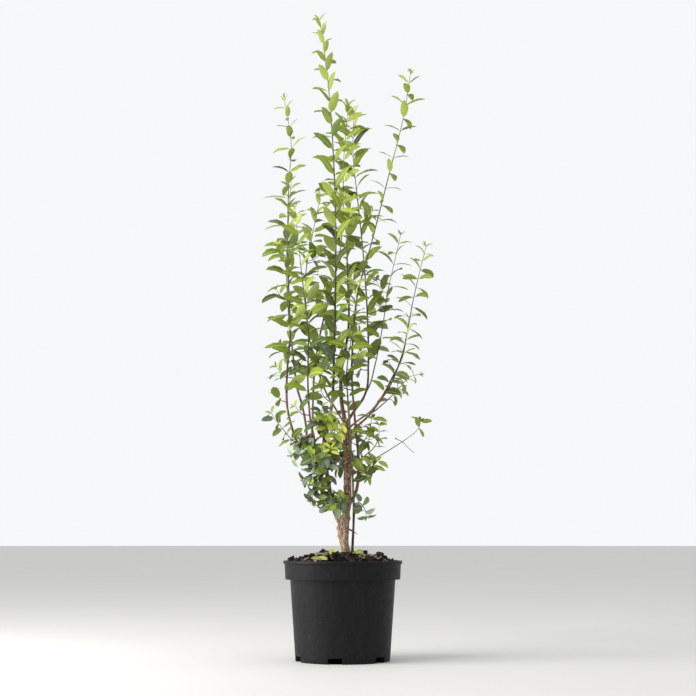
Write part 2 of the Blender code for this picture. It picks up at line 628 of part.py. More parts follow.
def leaf_corners(root, out, up, length, half_width, rise, droop, facing, root_height):
    """The corners of one leaf: its upright root, its widest section with a keel below, and its tip.

    The midrib is an arc that leaves the stem at the angle rise and turns down through the angle droop.
    The blade is turned about the midrib towards the light by facing.
    """
    def on_midrib(share):
        outward_reach = (math.sin(rise) - math.sin(rise - droop * share)) / droop
        upward_reach = (math.cos(rise - droop * share) - math.cos(rise)) / droop
        return root + (out * outward_reach + up * upward_reach) * length

    angle = rise - droop * LEAF_WIDEST_AT
    along = out * math.cos(angle) + up * math.sin(angle)
    normal = up * math.cos(angle) - out * math.sin(angle) + (LIGHT - along * LIGHT.dot(along)) * facing
    normal = (normal - along * normal.dot(along)).normalized()
    side = along.cross(normal)
    middle = on_midrib(LEAF_WIDEST_AT)
    return (root + up * root_height, root - up * root_height,
            middle - side * half_width, middle + side * half_width,
            middle - normal * LEAF_THICKNESS * length, on_midrib(1.0))


# The faces of a leaf by its corners: top and foot of the root, left, right, keel, tip
LEAF_FACES = ((0, 2, 3), (2, 5, 3), (0, 1, 2), (1, 4, 2), (0, 3, 1), (1, 3, 4), (2, 4, 5), (4, 3, 5))


def leaf_mesh(name, corners):
    mesh = bpy.data.meshes.new(name)
    mesh.from_pydata(corners, [], LEAF_FACES)
    return edited(mesh, outward)


def places_to_test(corners):
    """Points all over a leaf, at which its space is tested."""
    top, foot, left, right, keel, tip = (np.array(corner) for corner in corners)
    root, middle = (top + foot) / 2, (left + right) / 2
    return [root * 0.6 + middle * 0.4, root * 0.3 + left * 0.7, root * 0.3 + right * 0.7, left, right, keel,
            (left + tip) / 2, (right + tip) / 2, (middle + tip) / 2, tip]


def side_twigs(owner, stem, shape, space, random):
    """Twigs that branch from a stem at seeded places and turns, and rise towards their tips."""
    twigs = []
    for k in range(shape.twigs):
        step = k + TWIG_OFFSET + random.uniform(-TWIG_SCATTER, TWIG_SCATTER)
        share = TWIG_ZONE * step / (shape.twigs + TWIG_SCATTER)
        place, tangent, radius = stem.at(shape.bare + (stem.length - shape.bare) * share)
        tangent, first, second = side_frame(tangent)
        reach = shape.twig_length * random.uniform(*TWIG_LENGTHS)
        start = random.uniform(0.0, 2 * math.pi)
        for turn in range(TWIG_TRIES):
            azimuth = start + turn * TWIG_NEXT_TRY
            out = first * math.cos(azimuth) + second * math.sin(azimuth)
            bend = place + (out * TWIG_OUT_FIRST + tangent * TWIG_ALONG) * reach / 2
            tip = bend + (out * TWIG_OUT_LATER + tangent * TWIG_ALONG + Vector((0.0, 0.0, TWIG_UP))) * reach / 2
            route = smooth_route((place, bend, tip))
            if space.holds(owner, route[1:], TWIG_MARGIN):
                thickness = np.linspace(max(FINEST_TWIG, radius / 2), FINEST_TWIG, len(route))
                twigs.append(Stem(*stretch(route, thickness, 0.0, distance_along(route)[-1], STEM_RING)))
                break
    return twigs


def leaf_nodes(stem, shape, bare):
    """Distances of the leaf pairs along a stem, closing up towards its tip, and their shares of the way."""
    leafy = stem.length - bare
    count = max(1, round(leafy / shape.spacing))
    share = (np.arange(count) + FIRST_PAIR) / count
    return zip(bare + leafy * share * (1.0 + CLOSING_UP - CLOSING_UP * share), share)


def leaves_on(owner, stem, shape, bare, size, space, random, grown):
    """Grow the leaves of one stem: opposite pairs, each pair a quarter turn from the last.

    A leaf that would leave its space, or cross one that has grown, is tried shorter and then left out.
    The leaves that have grown are kept as pairs of corners and a tree of faces.
    """
    for k, (distance, share) in enumerate(leaf_nodes(stem, shape, bare)):
        place, tangent, radius = stem.at(distance)
        tangent, first, second = side_frame(tangent)
        fullness = min(1.0, (1.0 - share) / LEAF_TAPER_ZONE)
        grown_share = LEAF_TIP_SHARE + (1.0 - LEAF_TIP_SHARE) * math.sin(fullness * math.pi / 2)
        for side in (0.0, math.pi):
            azimuth = shape.turn + k * math.pi / 2 + side + random.normal(0.0, TURN_SPREAD)
            rise = shape.rise + random.normal(0.0, RISE_SPREAD) + TIP_RISE * (1.0 - fullness)
            droop = shape.droop * random.uniform(*DROOPS)
            full = shape.length * size * grown_share * random.uniform(*LENGTHS)
            out = first * math.cos(azimuth) + second * math.sin(azimuth)
            root = place + out * radius * ROOT_OFFSET
            for length in (full * shorter for shorter in SHORTER_LEAVES):
                corners = leaf_corners(root, out, tangent, length, length * shape.width / 2, rise, droop,
                                       shape.facing, min(radius * ROOT_HEIGHT, ROOT_HEIGHT_MOST))
                tree = BVHTree.FromPolygons(corners, LEAF_FACES)
                if (space.holds(owner, places_to_test(corners))
                        and not any(tree.overlap(other) for _, other in grown)):
                    grown.append((corners, tree))
                    break


def fused(name, stems, leaves, section, home, finish):
    """One mass: its stem with its twigs and leaves joined on by a union, as one closed shell."""
    parts = collection(name + "_parts")
    body = tube(name, stems[0].route, stems[0].radii * TWIG_SIDES_SCALE, home, section, finish)
    for twig in stems[1:]:
        tube(name + "_twig", twig.route, twig.radii * TWIG_SIDES_SCALE, parts, section)
    for corners, _ in leaves:
        add_object(name + "_leaf", leaf_mesh(name + "_leaf", corners), parts)
    boolean(body, "UNION", parts)
    joined = evaluated_mesh(body)
    joined.name = name
    body.modifiers.clear()
    body.data = edited(joined, keep_largest_shell)
    for piece in list(parts.objects):
        bpy.data.objects.remove(piece)
    bpy.data.collections.remove(parts)
    return body


def keep_largest_shell(working):
    """Drop every shell but the largest, which removes loose scraps and fills sealed hollows."""
    unseen = set(working.verts)
    shells = []
    while unseen:
        front = [unseen.pop()]
        shell = list(front)
        while front:
            near = {edge.other_vert(vertex) for vertex in front for edge in vertex.link_edges} & unseen
            unseen -= near
            front = list(near)
            shell += front
        shells.append(shell)
    shells.sort(key=len)
    for scrap in shells[:-1]:
        bmesh.ops.delete(working, geom=scrap, context="VERTS")


def pot_slope():
    return (BODY_TOP_RADIUS - BASE_RADIUS) / BAND_FOOT_HEIGHT


def make_pot(home, cutters):
    """A tapered body, a wider band round its top, an outward lip, and arched drain notches at its foot."""
    inner_band = BAND_TOP_RADIUS - POT_WALL
    pot = turned("pot", [
        (0.0, POT_FLOOR),
        (BASE_RADIUS + pot_slope() * POT_FLOOR - POT_WALL, POT_FLOOR),
        (BODY_TOP_RADIUS - POT_WALL, BAND_FOOT_HEIGHT + POT_WALL),
        (BAND_FOOT_RADIUS - POT_WALL, BAND_FOOT_HEIGHT + POT_WALL),
        (inner_band, POT_HEIGHT),
        (LIP_RADIUS - LIP_ROUND, POT_HEIGHT),
        (LIP_RADIUS, POT_HEIGHT - LIP_ROUND),
        (LIP_RADIUS, POT_HEIGHT - LIP_HEIGHT),
        (BAND_TOP_RADIUS, POT_HEIGHT - LIP_HEIGHT),
        (BAND_FOOT_RADIUS, BAND_FOOT_HEIGHT),
        (BODY_TOP_RADIUS, BAND_FOOT_HEIGHT),
        (BASE_RADIUS + pot_slope() * BASE_CHAMFER, BASE_CHAMFER),
        (BASE_RADIUS - BASE_CHAMFER, 0.0),
        (0.0, 0.0),
    ], home, POT_PLASTIC)
    for k in range(NOTCH_COUNT):
        angle = NOTCH_TURN + k * 2 * math.pi / NOTCH_COUNT
        box = bpy.data.meshes.new("notch")
        edited(box, lambda working: bmesh.ops.create_cube(working, size=1.0))
        edited(box, lambda working: bmesh.ops.scale(
            working, vec=(NOTCH_DEPTH * 2, NOTCH_WIDTH, NOTCH_HEIGHT * 2), verts=working.verts))
        notch = as_guide(add_object(f"notch_{k + 1}", box, cutters))
        notch.location = (BASE_RADIUS * math.cos(angle), BASE_RADIUS * math.sin(angle), 0.0)
        notch.rotation_euler.z = angle
        boolean(pot, "DIFFERENCE", notch)


def make_compost(home):
    """Compost that fills the pot to just under its lip, mounded round the stems, with a lumpy top."""
    side = POT_WALL + CLEARANCE * 1.2
    floor = POT_FLOOR + CLEARANCE
    ledge = BAND_FOOT_HEIGHT + POT_WALL + CLEARANCE
    band_slope = (BAND_TOP_RADIUS - BAND_FOOT_RADIUS) / (POT_HEIGHT - BAND_FOOT_HEIGHT)
    rim = BAND_FOOT_RADIUS + band_slope * (SOIL_EDGE_HEIGHT - SOIL_LUMP - BAND_FOOT_HEIGHT) - side
    mound = [(SOIL_FLAT_RADIUS + (rim - SOIL_FLAT_RADIUS) * share,
              SOIL_EDGE_HEIGHT + (SOIL_HEIGHT - SOIL_EDGE_HEIGHT) * math.cos(share * math.pi / 2))
             for share in (0.0, 0.5, 1.0)]
    compost = turned("compost", [
        (0.0, SOIL_HEIGHT),
        *mound,
        (BAND_FOOT_RADIUS - side, ledge),
        (BODY_TOP_RADIUS - side, ledge),
        (BASE_RADIUS + pot_slope() * SOIL_CORNER - side, floor + SOIL_CORNER),
        (BASE_RADIUS - SOIL_CORNER, floor),
        (0.0, floor),
    ], home, COMPOST)
    random = np.random.default_rng(5)
    for vertex in compost.data.vertices:
        lump = SOIL_LUMP * random.uniform(-1.0, 1.0)
        on_slope = math.hypot(vertex.co.x, vertex.co.y) > SOIL_FLAT_RADIUS + CLEARANCE
        if on_slope and vertex.co.z > SOIL_EDGE_HEIGHT - CLEARANCE:
            vertex.co.z += lump


def make_limbs(home, cutters, routes):
    """Every limb as a tube, cut clear of the limb that carries it or level where it leaves the compost."""
    for limb in LIMBS:
        finish = TRUNK_BARK if limb.name == "trunk" else BOUGH_BARK
        piece = limb_tube(limb.name, limb.name, routes, home, finish)
        if limb.carrier:
            cut_clear(piece, limb.carrier, routes, cutters)
        else:
            level_foot(piece, SOIL_HEIGHT + CLEARANCE)


def twig_section(cutters):
    """The three-sided section of the twigs, of radius one."""
    data = bpy.data.curves.new("twig_section", "CURVE")
    spline = data.splines.new("POLY")
    spline.points.add(2)
    for k, point in enumerate(spline.points):
        angle = k * 2 * math.pi / 3
        point.co = (math.cos(angle), math.sin(angle), 0.0, 1.0)
    spline.use_cyclic_u = True
    return as_guide(add_object("twig_section", data, cutters))


def make_shoots(home, cutters, routes):
    """Every leafy shoot: the stems and side twigs of all of them first, and then their leaves."""
    shoots = TIP_SHOOTS + SIDE_SHOOTS
    stems = {shoot.name: [Stem(*routes[shoot.name])] for shoot in shoots}
    space = Space(stems, [routes[limb.name] for limb in LIMBS])
    sources = {shoot.name: np.random.default_rng(shoot.habit.seed) for shoot in shoots}
    for shoot in shoots:
        stem = stems[shoot.name][0]
        stems[shoot.name] += side_twigs(shoot.name, stem, shoot.habit, space, sources[shoot.name])
    section = twig_section(cutters)
    for shoot in shoots:
        stem, *twigs = stems[shoot.name]
        shape, random, leaves = shoot.habit, sources[shoot.name], []
        leaves_on(shoot.name, stem, shape, shape.bare, 1.0, space, random, leaves)
        for twig in twigs:
            leaves_on(shoot.name, twig, shape, twig.length * TWIG_BARE, TWIG_LEAF_SIZE, space, random, leaves)
        on_tip = shoot in TIP_SHOOTS
        green = TALL_SHOOT_GREEN if on_tip else SIDE_SHOOT_GREEN
        piece = fused(shoot.name, stems[shoot.name], leaves, section, home, green)
        if not on_tip:
            cut_clear(piece, shoot.carrier, routes, cutters)


def main():
    for old in list(bpy.data.objects):
        bpy.data.objects.remove(old)
    home = collection("potted_privet")
    cutters = collection("cutters")
    routes = grown_routes()
    make_pot(home, cutters)
    make_compost(home)
    make_limbs(home, cutters, routes)
    make_shoots(home, cutters, routes)


main()
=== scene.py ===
# The looks of a young privet in a nursery pot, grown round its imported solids.
# Metres, +Z up, and -Y is the plant's front. Every surface of plant and pot is worked out here with numpy:
# bark on the limbs, shoots and twigs with opposite pairs of leaves, chips on the compost, and a moulded pot.
from collections import namedtuple
import math

import bpy
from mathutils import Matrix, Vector
import numpy as np


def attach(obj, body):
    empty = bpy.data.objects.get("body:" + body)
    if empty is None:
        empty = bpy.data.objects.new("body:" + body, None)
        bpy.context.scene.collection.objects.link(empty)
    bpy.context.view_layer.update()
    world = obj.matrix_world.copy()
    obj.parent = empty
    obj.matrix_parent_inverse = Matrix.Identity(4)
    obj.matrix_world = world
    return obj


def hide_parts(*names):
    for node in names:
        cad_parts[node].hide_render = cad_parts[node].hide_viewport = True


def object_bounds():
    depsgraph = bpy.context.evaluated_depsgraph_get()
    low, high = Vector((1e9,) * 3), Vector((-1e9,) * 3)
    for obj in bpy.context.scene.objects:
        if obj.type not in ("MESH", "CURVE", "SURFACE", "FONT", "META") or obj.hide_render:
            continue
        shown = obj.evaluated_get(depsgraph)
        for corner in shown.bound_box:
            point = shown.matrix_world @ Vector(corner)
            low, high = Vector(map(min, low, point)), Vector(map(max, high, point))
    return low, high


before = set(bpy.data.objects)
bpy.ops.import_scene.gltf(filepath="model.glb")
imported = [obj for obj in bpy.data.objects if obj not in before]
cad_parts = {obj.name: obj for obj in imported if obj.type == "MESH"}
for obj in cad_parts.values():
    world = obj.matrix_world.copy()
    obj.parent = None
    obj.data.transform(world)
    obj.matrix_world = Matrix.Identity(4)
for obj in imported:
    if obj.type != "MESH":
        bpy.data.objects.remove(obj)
CAD_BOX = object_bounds()

# Camera, by the photograph's square frame in pixels and its focal length in pixels
IMAGE_SIDE = 696
FOCAL_LENGTH = 1384
SENSOR = 36.0
CAMERA_PLACE = (0.01226, -3.3, 0.28)
CAMERA_PITCH = math.radians(7.88)

# Pot, as moulded
POT_HEIGHT = 0.231
POT_WALL = 0.0025
POT_FLOOR = 0.004
LIP_RADIUS = 0.140
LIP_HEIGHT = 0.0075
BAND_TOP_RADIUS = 0.1370
BAND_FOOT_RADIUS = 0.1352
BAND_FOOT_HEIGHT = 0.1875
BODY_TOP_RADIUS = 0.1238
BASE_RADIUS = 0.1105
NOTCH_COUNT = 6
NOTCH_WIDTH = 0.032
NOTCH_HEIGHT = 0.013
NOTCH_DEPTH = 0.011
NOTCH_EDGE = 0.0004
NOTCH_TURN = math.radians(-99)
NOTCH_SIDE_SHARE = 0.006
MOULD_ROUND = 0.0012
POT_SIDES = 216

# The innermost ring of the pot's floor, which closes on a middle point, and the largest part of an edge
# that a rounded corner takes, as a divisor of its length
FLOOR_MIDDLE_RADIUS = 0.002
ROUNDING_DIVISOR = 2.2

# Patterns, by the width of what they show. Furrows, streaks and mould grain are drawn coarser than real
# ones, since finer ones would not show at the photograph's size.
TRUNK_FURROW_WIDTH = 0.0022
BOUGH_FURROW_WIDTH = 0.0016
CUT_WOOD_RING_WIDTH = 0.0012
PATCH_WIDTH = 0.010
STREAK_WIDTH = 0.0016
FLOW_STREAK_WIDTH = 0.006
SPECK_SPACING = 0.0035
SCUFF_WIDTH = 0.018
MOULD_GRAIN_WIDTH = 0.0011
FLOOR_MOTTLE = 0.6

# The heights over which bark changes from the browns of its foot to those of its head
# On trunk and boughs the paler browns below the change are painted light, the darker ones above painted shade
OLD_BARK_CHANGE = (0.335, 0.395)
BOUGH_BARK_CHANGE = (0.57, 0.65)

# Studio floor, round so that its edge is level from every side
FLOOR_RADIUS = 60.0
FLOOR_SIDES = 96

# Light: the strength of the sky's glow on the plant, and of the pale wall that the camera sees
SKY_LIGHT = 0.88
WALL_LIGHT = 0.98

# Compost: its mound, the rings and sides of its surface, and the chips and crumbs strewn over it
SOIL_HEIGHT = 0.243
SOIL_EDGE_HEIGHT = 0.2205
SOIL_RADIUS = 0.1338
SOIL_FOOT = 0.200
SOIL_RINGS = 60
SOIL_SIDES = 160
SOIL_MIDDLE_RADIUS = 0.0015
CHIP_COUNT = 800
CHIP_SIZES = ((0.007, 0.028), (0.005, 0.016), (0.003, 0.011))
CHIP_SHARES = (0.46, 0.70, 0.84, 1.0)
CRUMB_COUNT = 3000
CRUMB_SIZES = ((0.0015, 0.0050), (0.0015, 0.0042), (0.001, 0.0034))
CRUMB_SHARES = (0.55, 0.86, 0.96, 1.0)
STREWN_RADIUS = 0.130
CHIP_LIMIT = 0.1342
RIM_CHIP_ZONE = 0.030
LEAST_CHIP_SHARE = 0.40

# Chips: how they crowd towards the middle, how few are large, their tilt, how far they stand out of the
# compost as a share of their height, and how far each corner is pulled in or out
LEAST_CROWDING = 0.01
CROWDING_POWER = 0.6
CHIP_SIZE_POWER = 1.6
CHIP_TILT = 0.38
CHIP_LEAN_SHARE = 0.6
CHIP_RISE_SHARE = 0.45
CLOD_RISE_SHARE = 0.42
CHIP_CORNER_PULL = (-0.45, 0.35)
CLOD_CORNER_PULL = (-0.40, 0.20)
CLOD_LENGTH_RISE = 0.25
CLOD_UPWARDS = (-0.1, 0.1, 1.0)

# Rings along limbs, shoots and twigs
ROUTE_STEP = 0.004
CURVE_POINTS = 600
TRUNK_STEP = 0.0016
BOUGH_STEP = 0.00256
SHOOT_STEP = 0.0030
TRUNK_SIDES = 56
BOUGH_SIDES = 22
SHOOT_SIDES = 8
TWIG_SIDES = 6

# Leaves: stalk, stations along the blade, the powers of its outline, and its columns from edge to edge
STALK_SHARE = 0.07
STALK_HALF = 0.07
BLADE_STATIONS = np.array((0.0, 0.13, 0.34, 0.58, 0.82, 1.0))
BASE_POWER = 0.56
TIP_POWER = 0.70
UPPER_COLUMNS = np.array((-1.0, -0.54, -0.09, 0.09, 0.54, 1.0))
LEAF_THICKNESS = 0.0004
LIGHT = np.array((-0.10, -0.93, 0.36)) / np.linalg.norm((-0.10, -0.93, 0.36))
LEAF_TIP_SHARE = 0.50
FIRST_PAIR = 0.9
SPACING_GROWTH = 0.55
SPACING_ZONE = 0.30
YOUNG_LENGTH = 0.050
TURNED_FROM_LIGHT = -0.25
TURN_SPREAD = 0.13
RISE_SPREAD = 0.11
ROLL_SPREAD = 0.20
TIP_RISE = 0.30
LEAST_HEIGHT = 0.264
BOX_MARGIN = 0.016

# Leaves: shares of the stem's radius at which they root, of the leafy part that tapers and that is young,
# and how much length, width, droop and fold vary
ROOT_DEPTH_SHARE = 0.6
LONGEST_TAPER_SHARE = 0.6
YOUNG_SHARE = 0.2
LENGTH_SHARES = (0.88, 1.12)
WIDTH_SHARES = (0.88, 1.10)
DROOP_SHARES = (0.6, 1.4)
FOLDS = (0.10, 0.40)

# The turn of blades to the light: it fades to nothing on leaves that point this far to the rear, and varies
TURNING_LIMIT = 0.55
FACING_SHARES = (0.7, 1.4)

# Leaf surface: how the fold eases towards the edge, the edge's wave, and its ripples from root to tip
FOLD_EASING = 0.35
EDGE_WAVE = 0.15
RIPPLES = 1.6
RIPPLE_SHIFT = 0.2

# The trunk's foot, the width of its knobs, and the depth of its bark's furrows
FOOT_HEIGHT = 0.2383
FOOT_FLARE = 0.42
FOOT_FADE = 0.013
KNOB_WIDTH = 0.0038
TRUNK_RELIEF = 0.00075
SMOOTH_END_RINGS = 6
SMOOTH_END_SHARE = 0.3

# Boughs: collars at the forks, and furrows that grow with the radius and fade out at the leafy end
COLLAR_SWELLING = 0.55
COLLAR_LENGTH = 0.006
THIN_BOUGH_RELIEF = 0.00016
ADDED_RELIEF = 0.00022
THICK_BOUGH_RADIUS = 0.0045
RELIEF_FADE = 0.05

# Bark's relief: waves as (how many, length), how narrow a furrow is, swellings and roughness as shares of
# its depth, the lobes of a wave round the limb, and how its length varies
FURROW_WAVES = (5, 0.045)
SWELLING_WAVES = (3, 0.030)
ROUGHNESS_WAVES = (6, 0.008)
FURROW_NARROWNESS = 0.35
SWELLING_SHARE = 0.55
ROUGHNESS_SHARE = 0.22
WAVE_LOBES = (2, 9)
WAVE_LENGTH_SHARES = (0.6, 1.8)
TRUNK_SEED = 21
FIRST_BOUGH_SEED = 40
SEEDS_PER_LIMB = 3

# Shoots: swellings at the leaf pairs, the shares of their length from which they are soft and green, and
# the share of the rest that has ripened to brown
NODE_SWELLING = 0.22
NODE_LENGTH = 0.0022
SHOOT_GREEN_FROM = 0.72
TWIG_GREEN_FROM = 0.60
RIPENED_SHARE = 0.55

# Side shoots and side twigs: radius, place on their stem, reach, leaves and the way they bend
SIDE_SHOOT_RADIUS = 0.0016
TWIG_RADIUS_SHARE = 0.7
THICKEST_TWIG = 0.0014
TWIG_PLACE_SPREAD = 0.3
TWIG_REACH_SHARES = (0.7, 1.2)
FINER_REACH_SHARES = (0.75, 1.2)
TWIG_SHORTENING = 0.35
SIDE_TWIG_ZONE = 0.72
SIDE_TWIG_LEAF_SHARE = 0.85
SIDE_TWIG_SPACING = 0.75
LEAST_SPACING = 0.013
TWIG_OUT_FIRST = 0.85
TWIG_OUT_LATER = 0.60
TWIG_ALONG = 0.35
TWIG_UP = 0.45
FINEST_TWIG = 0.0006
TWIG_BARE = 0.25

Limb = namedtuple("Limb", "name carrier places radii")
Shoot = namedtuple("Shoot", "name carrier places habit")
Habit = namedtuple("Habit", "length width spacing bare turn rise lean back droop facing side_facing flat "
                            "twigs twig_length mix taper seed")


def habit(length, spacing=0.024, bare=0.0, turn=0, rise=38, lean=0, back=14, droop=45, facing=1.2,
          side_facing=None, flat=0.25, width=0.42, twigs=0, twig_length=0.06, mix=None, taper=0.25, seed=1):
    """How one shoot bears its leaves: size, spacing at its tip, angles in degrees, side twigs and tints.

    Lean adds to the rise of leaves on the right and takes it off those on the left, and back does so for
    front and rear. Facing turns the blades of front leaves to the light, side_facing those at the sides,
    and flat presses the pairs towards the plane across the light. Leaves reach full size at a distance of
    taper below the tip.
    """
    return Habit(length, width, spacing, bare, math.radians(turn), math.radians(rise), math.radians(lean),
                 math.radians(back), math.radians(droop), facing,
                 facing if side_facing is None else side_facing, flat, twigs, twig_length, mix, taper, seed)


# Shares of the leaf tints, in the order of LEAF_TINTS: young, fresh, full, deep, blue, yellow, pale and dry
TOP_MIX = (0.16, 0.52, 0.28, 0.04, 0.0, 0.0, 0.0, 0.0)
MIDDLE_MIX = (0.05, 0.38, 0.40, 0.14, 0.03, 0.0, 0.0, 0.0)
# INNER_MIX, LOW_MIX, SHADE_MIX and DARK_MIX lean on the darkened deep tint as painted shade
INNER_MIX = (0.03, 0.23, 0.32, 0.32, 0.10, 0.0, 0.0, 0.0)
LOW_MIX = (0.08, 0.18, 0.16, 0.28, 0.24, 0.03, 0.02, 0.01)
SHADE_MIX = (0.03, 0.10, 0.10, 0.38, 0.35, 0.01, 0.03, 0.0)
DARK_MIX = (0.0, 0.04, 0.10, 0.50, 0.36, 0.0, 0.0, 0.0)
EVEN_MIX = (0.0, 0.10, 0.40, 0.40, 0.10, 0.0, 0.0, 0.0)
YELLOW_MIX = (0.30, 0.09, 0.06, 0.04, 0.0, 0.49, 0.0, 0.02)
BARE_MIX = (0.05, 0.25, 0.30, 0.30, 0.10, 0.0, 0.0, 0.0)
FAN_MIX = (0.30, 0.20, 0.20, 0.24, 0.06, 0.0, 0.0, 0.0)
LIT_MIX = (0.06, 0.44, 0.36, 0.14, 0.0, 0.0, 0.0, 0.0)
PALE_MIX = (0.0, 0.02, 0.06, 0.06, 0.10, 0.0, 0.76, 0.0)
STAR_MIX = (0.20, 0.0, 0.0, 0.0, 0.0, 0.68, 0.0, 0.12)

# Limbs of bare wood, from the soil or the axis of a carrier to the fork, tip or leafy part
LIMBS = (
    Limb("trunk", None,
         ((0.007, 0.000, 0.2300), (0.007, 0.000, 0.2383), (0.006, 0.000, 0.253), (0.004, 0.000, 0.279),
          (0.005, 0.000, 0.316), (0.009, 0.001, 0.347), (0.010, 0.002, 0.397), (0.009, 0.003, 0.453),
          (0.008, 0.001, 0.515), (0.007, 0.000, 0.566)),
         (0.0140, 0.0125, 0.0100, 0.0098, 0.0110, 0.0078, 0.0071, 0.0067, 0.0062, 0.0054)),
    Limb("left_stem", "trunk",
         ((0.004, 0.000, 0.303), (-0.016, -0.004, 0.338), (-0.027, -0.008, 0.375), (-0.037, -0.012, 0.432),
          (-0.043, -0.014, 0.486), (-0.042, -0.015, 0.538), (-0.030, -0.018, 0.576), (-0.025, -0.024, 0.612)),
         (0.0052, 0.0050, 0.0047, 0.0045, 0.0042, 0.0041, 0.0034, 0.0030)),
    Limb("thin_stem", None,
         ((0.021, -0.013, 0.2300), (0.024, -0.014, 0.288), (0.026, -0.016, 0.349), (0.024, -0.018, 0.407),
          (0.019, -0.018, 0.490), (0.016, -0.020, 0.550), (0.012, -0.024, 0.609)),
         (0.0025, 0.0020, 0.0019, 0.0018, 0.0017, 0.0017, 0.0017)),
    Limb("right_tall_bough", "trunk",
         ((0.011, 0.003, 0.354), (0.031, 0.011, 0.392), (0.037, 0.013, 0.445), (0.036, 0.009, 0.492),
          (0.031, 0.003, 0.539), (0.027, -0.006, 0.586), (0.022, -0.020, 0.648)),
         (0.0042, 0.0038, 0.0036, 0.0033, 0.0029, 0.0026, 0.0024)),
    Limb("centre_bough", "trunk",
         ((0.006, 0.001, 0.551), (-0.003, 0.003, 0.605), (-0.005, 0.006, 0.643), (-0.004, 0.008, 0.682)),
         (0.0050, 0.0047, 0.0044, 0.0040)),
    Limb("crossing_bough", "trunk",
         ((0.007, 0.001, 0.530), (0.002, 0.012, 0.557), (-0.013, 0.020, 0.584), (-0.036, 0.030, 0.623),
          (-0.067, 0.060, 0.709)),
         (0.0025, 0.0024, 0.0023, 0.0022, 0.0021)),
    Limb("right_rear_bough", "trunk",
         ((0.008, 0.001, 0.554), (0.030, 0.012, 0.590), (0.047, 0.024, 0.614), (0.057, 0.038, 0.639),
          (0.062, 0.066, 0.704)),
         (0.0034, 0.0032, 0.0030, 0.0026, 0.0023)),
    Limb("right_outer_bough", "trunk",
         ((0.008, 0.001, 0.522), (0.033, -0.014, 0.546), (0.064, -0.022, 0.574), (0.090, -0.027, 0.609),
          (0.108, -0.031, 0.635), (0.121, -0.034, 0.661)),
         (0.0027, 0.0025, 0.0023, 0.0022, 0.0021, 0.0020)),
    Limb("right_front_bough", "trunk",
         ((0.008, 0.000, 0.539), (0.032, -0.021, 0.557), (0.068, -0.048, 0.582), (0.098, -0.072, 0.622)),
         (0.0024, 0.0022, 0.0020, 0.0018)),
    Limb("left_arm", "left_stem",
         ((-0.040, -0.013, 0.449), (-0.056, -0.008, 0.463), (-0.079, -0.002, 0.481), (-0.092, 0.000, 0.506),
          (-0.101, 0.001, 0.531)),
         (0.0040, 0.0039, 0.0038, 0.0037, 0.0034)),
    Limb("left_outer_bough", "left_arm",
         ((-0.088, -0.001, 0.496), (-0.107, -0.008, 0.509), (-0.122, -0.014, 0.547), (-0.132, -0.018, 0.590),
          (-0.134, -0.022, 0.625)),
         (0.0030, 0.0029, 0.0028, 0.0027, 0.0026)),
    Limb("left_rear_bough", "left_arm",
         ((-0.087, -0.001, 0.493), (-0.088, 0.016, 0.544), (-0.099, 0.028, 0.602), (-0.111, 0.040, 0.644),
          (-0.118, 0.050, 0.691)),
         (0.0029, 0.0028, 0.0027, 0.0026, 0.0024)),
    Limb("left_front_bough", "left_arm",
         ((-0.067, -0.005, 0.472), (-0.067, -0.024, 0.513), (-0.075, -0.040, 0.550), (-0.080, -0.056, 0.596)),
         (0.0027, 0.0025, 0.0024, 0.0022)),
    Limb("inner_bough", "left_arm",
         ((-0.075, -0.003, 0.478), (-0.073, 0.010, 0.554), (-0.072, 0.016, 0.613), (-0.068, 0.022, 0.694)),
         (0.0028, 0.0026, 0.0024, 0.0022)),
    Limb("cut_stub", "left_stem",
         ((-0.039, -0.012, 0.447), (-0.024, -0.017, 0.466), (-0.010, -0.020, 0.484)),
         (0.0026, 0.0024, 0.0022)),
)

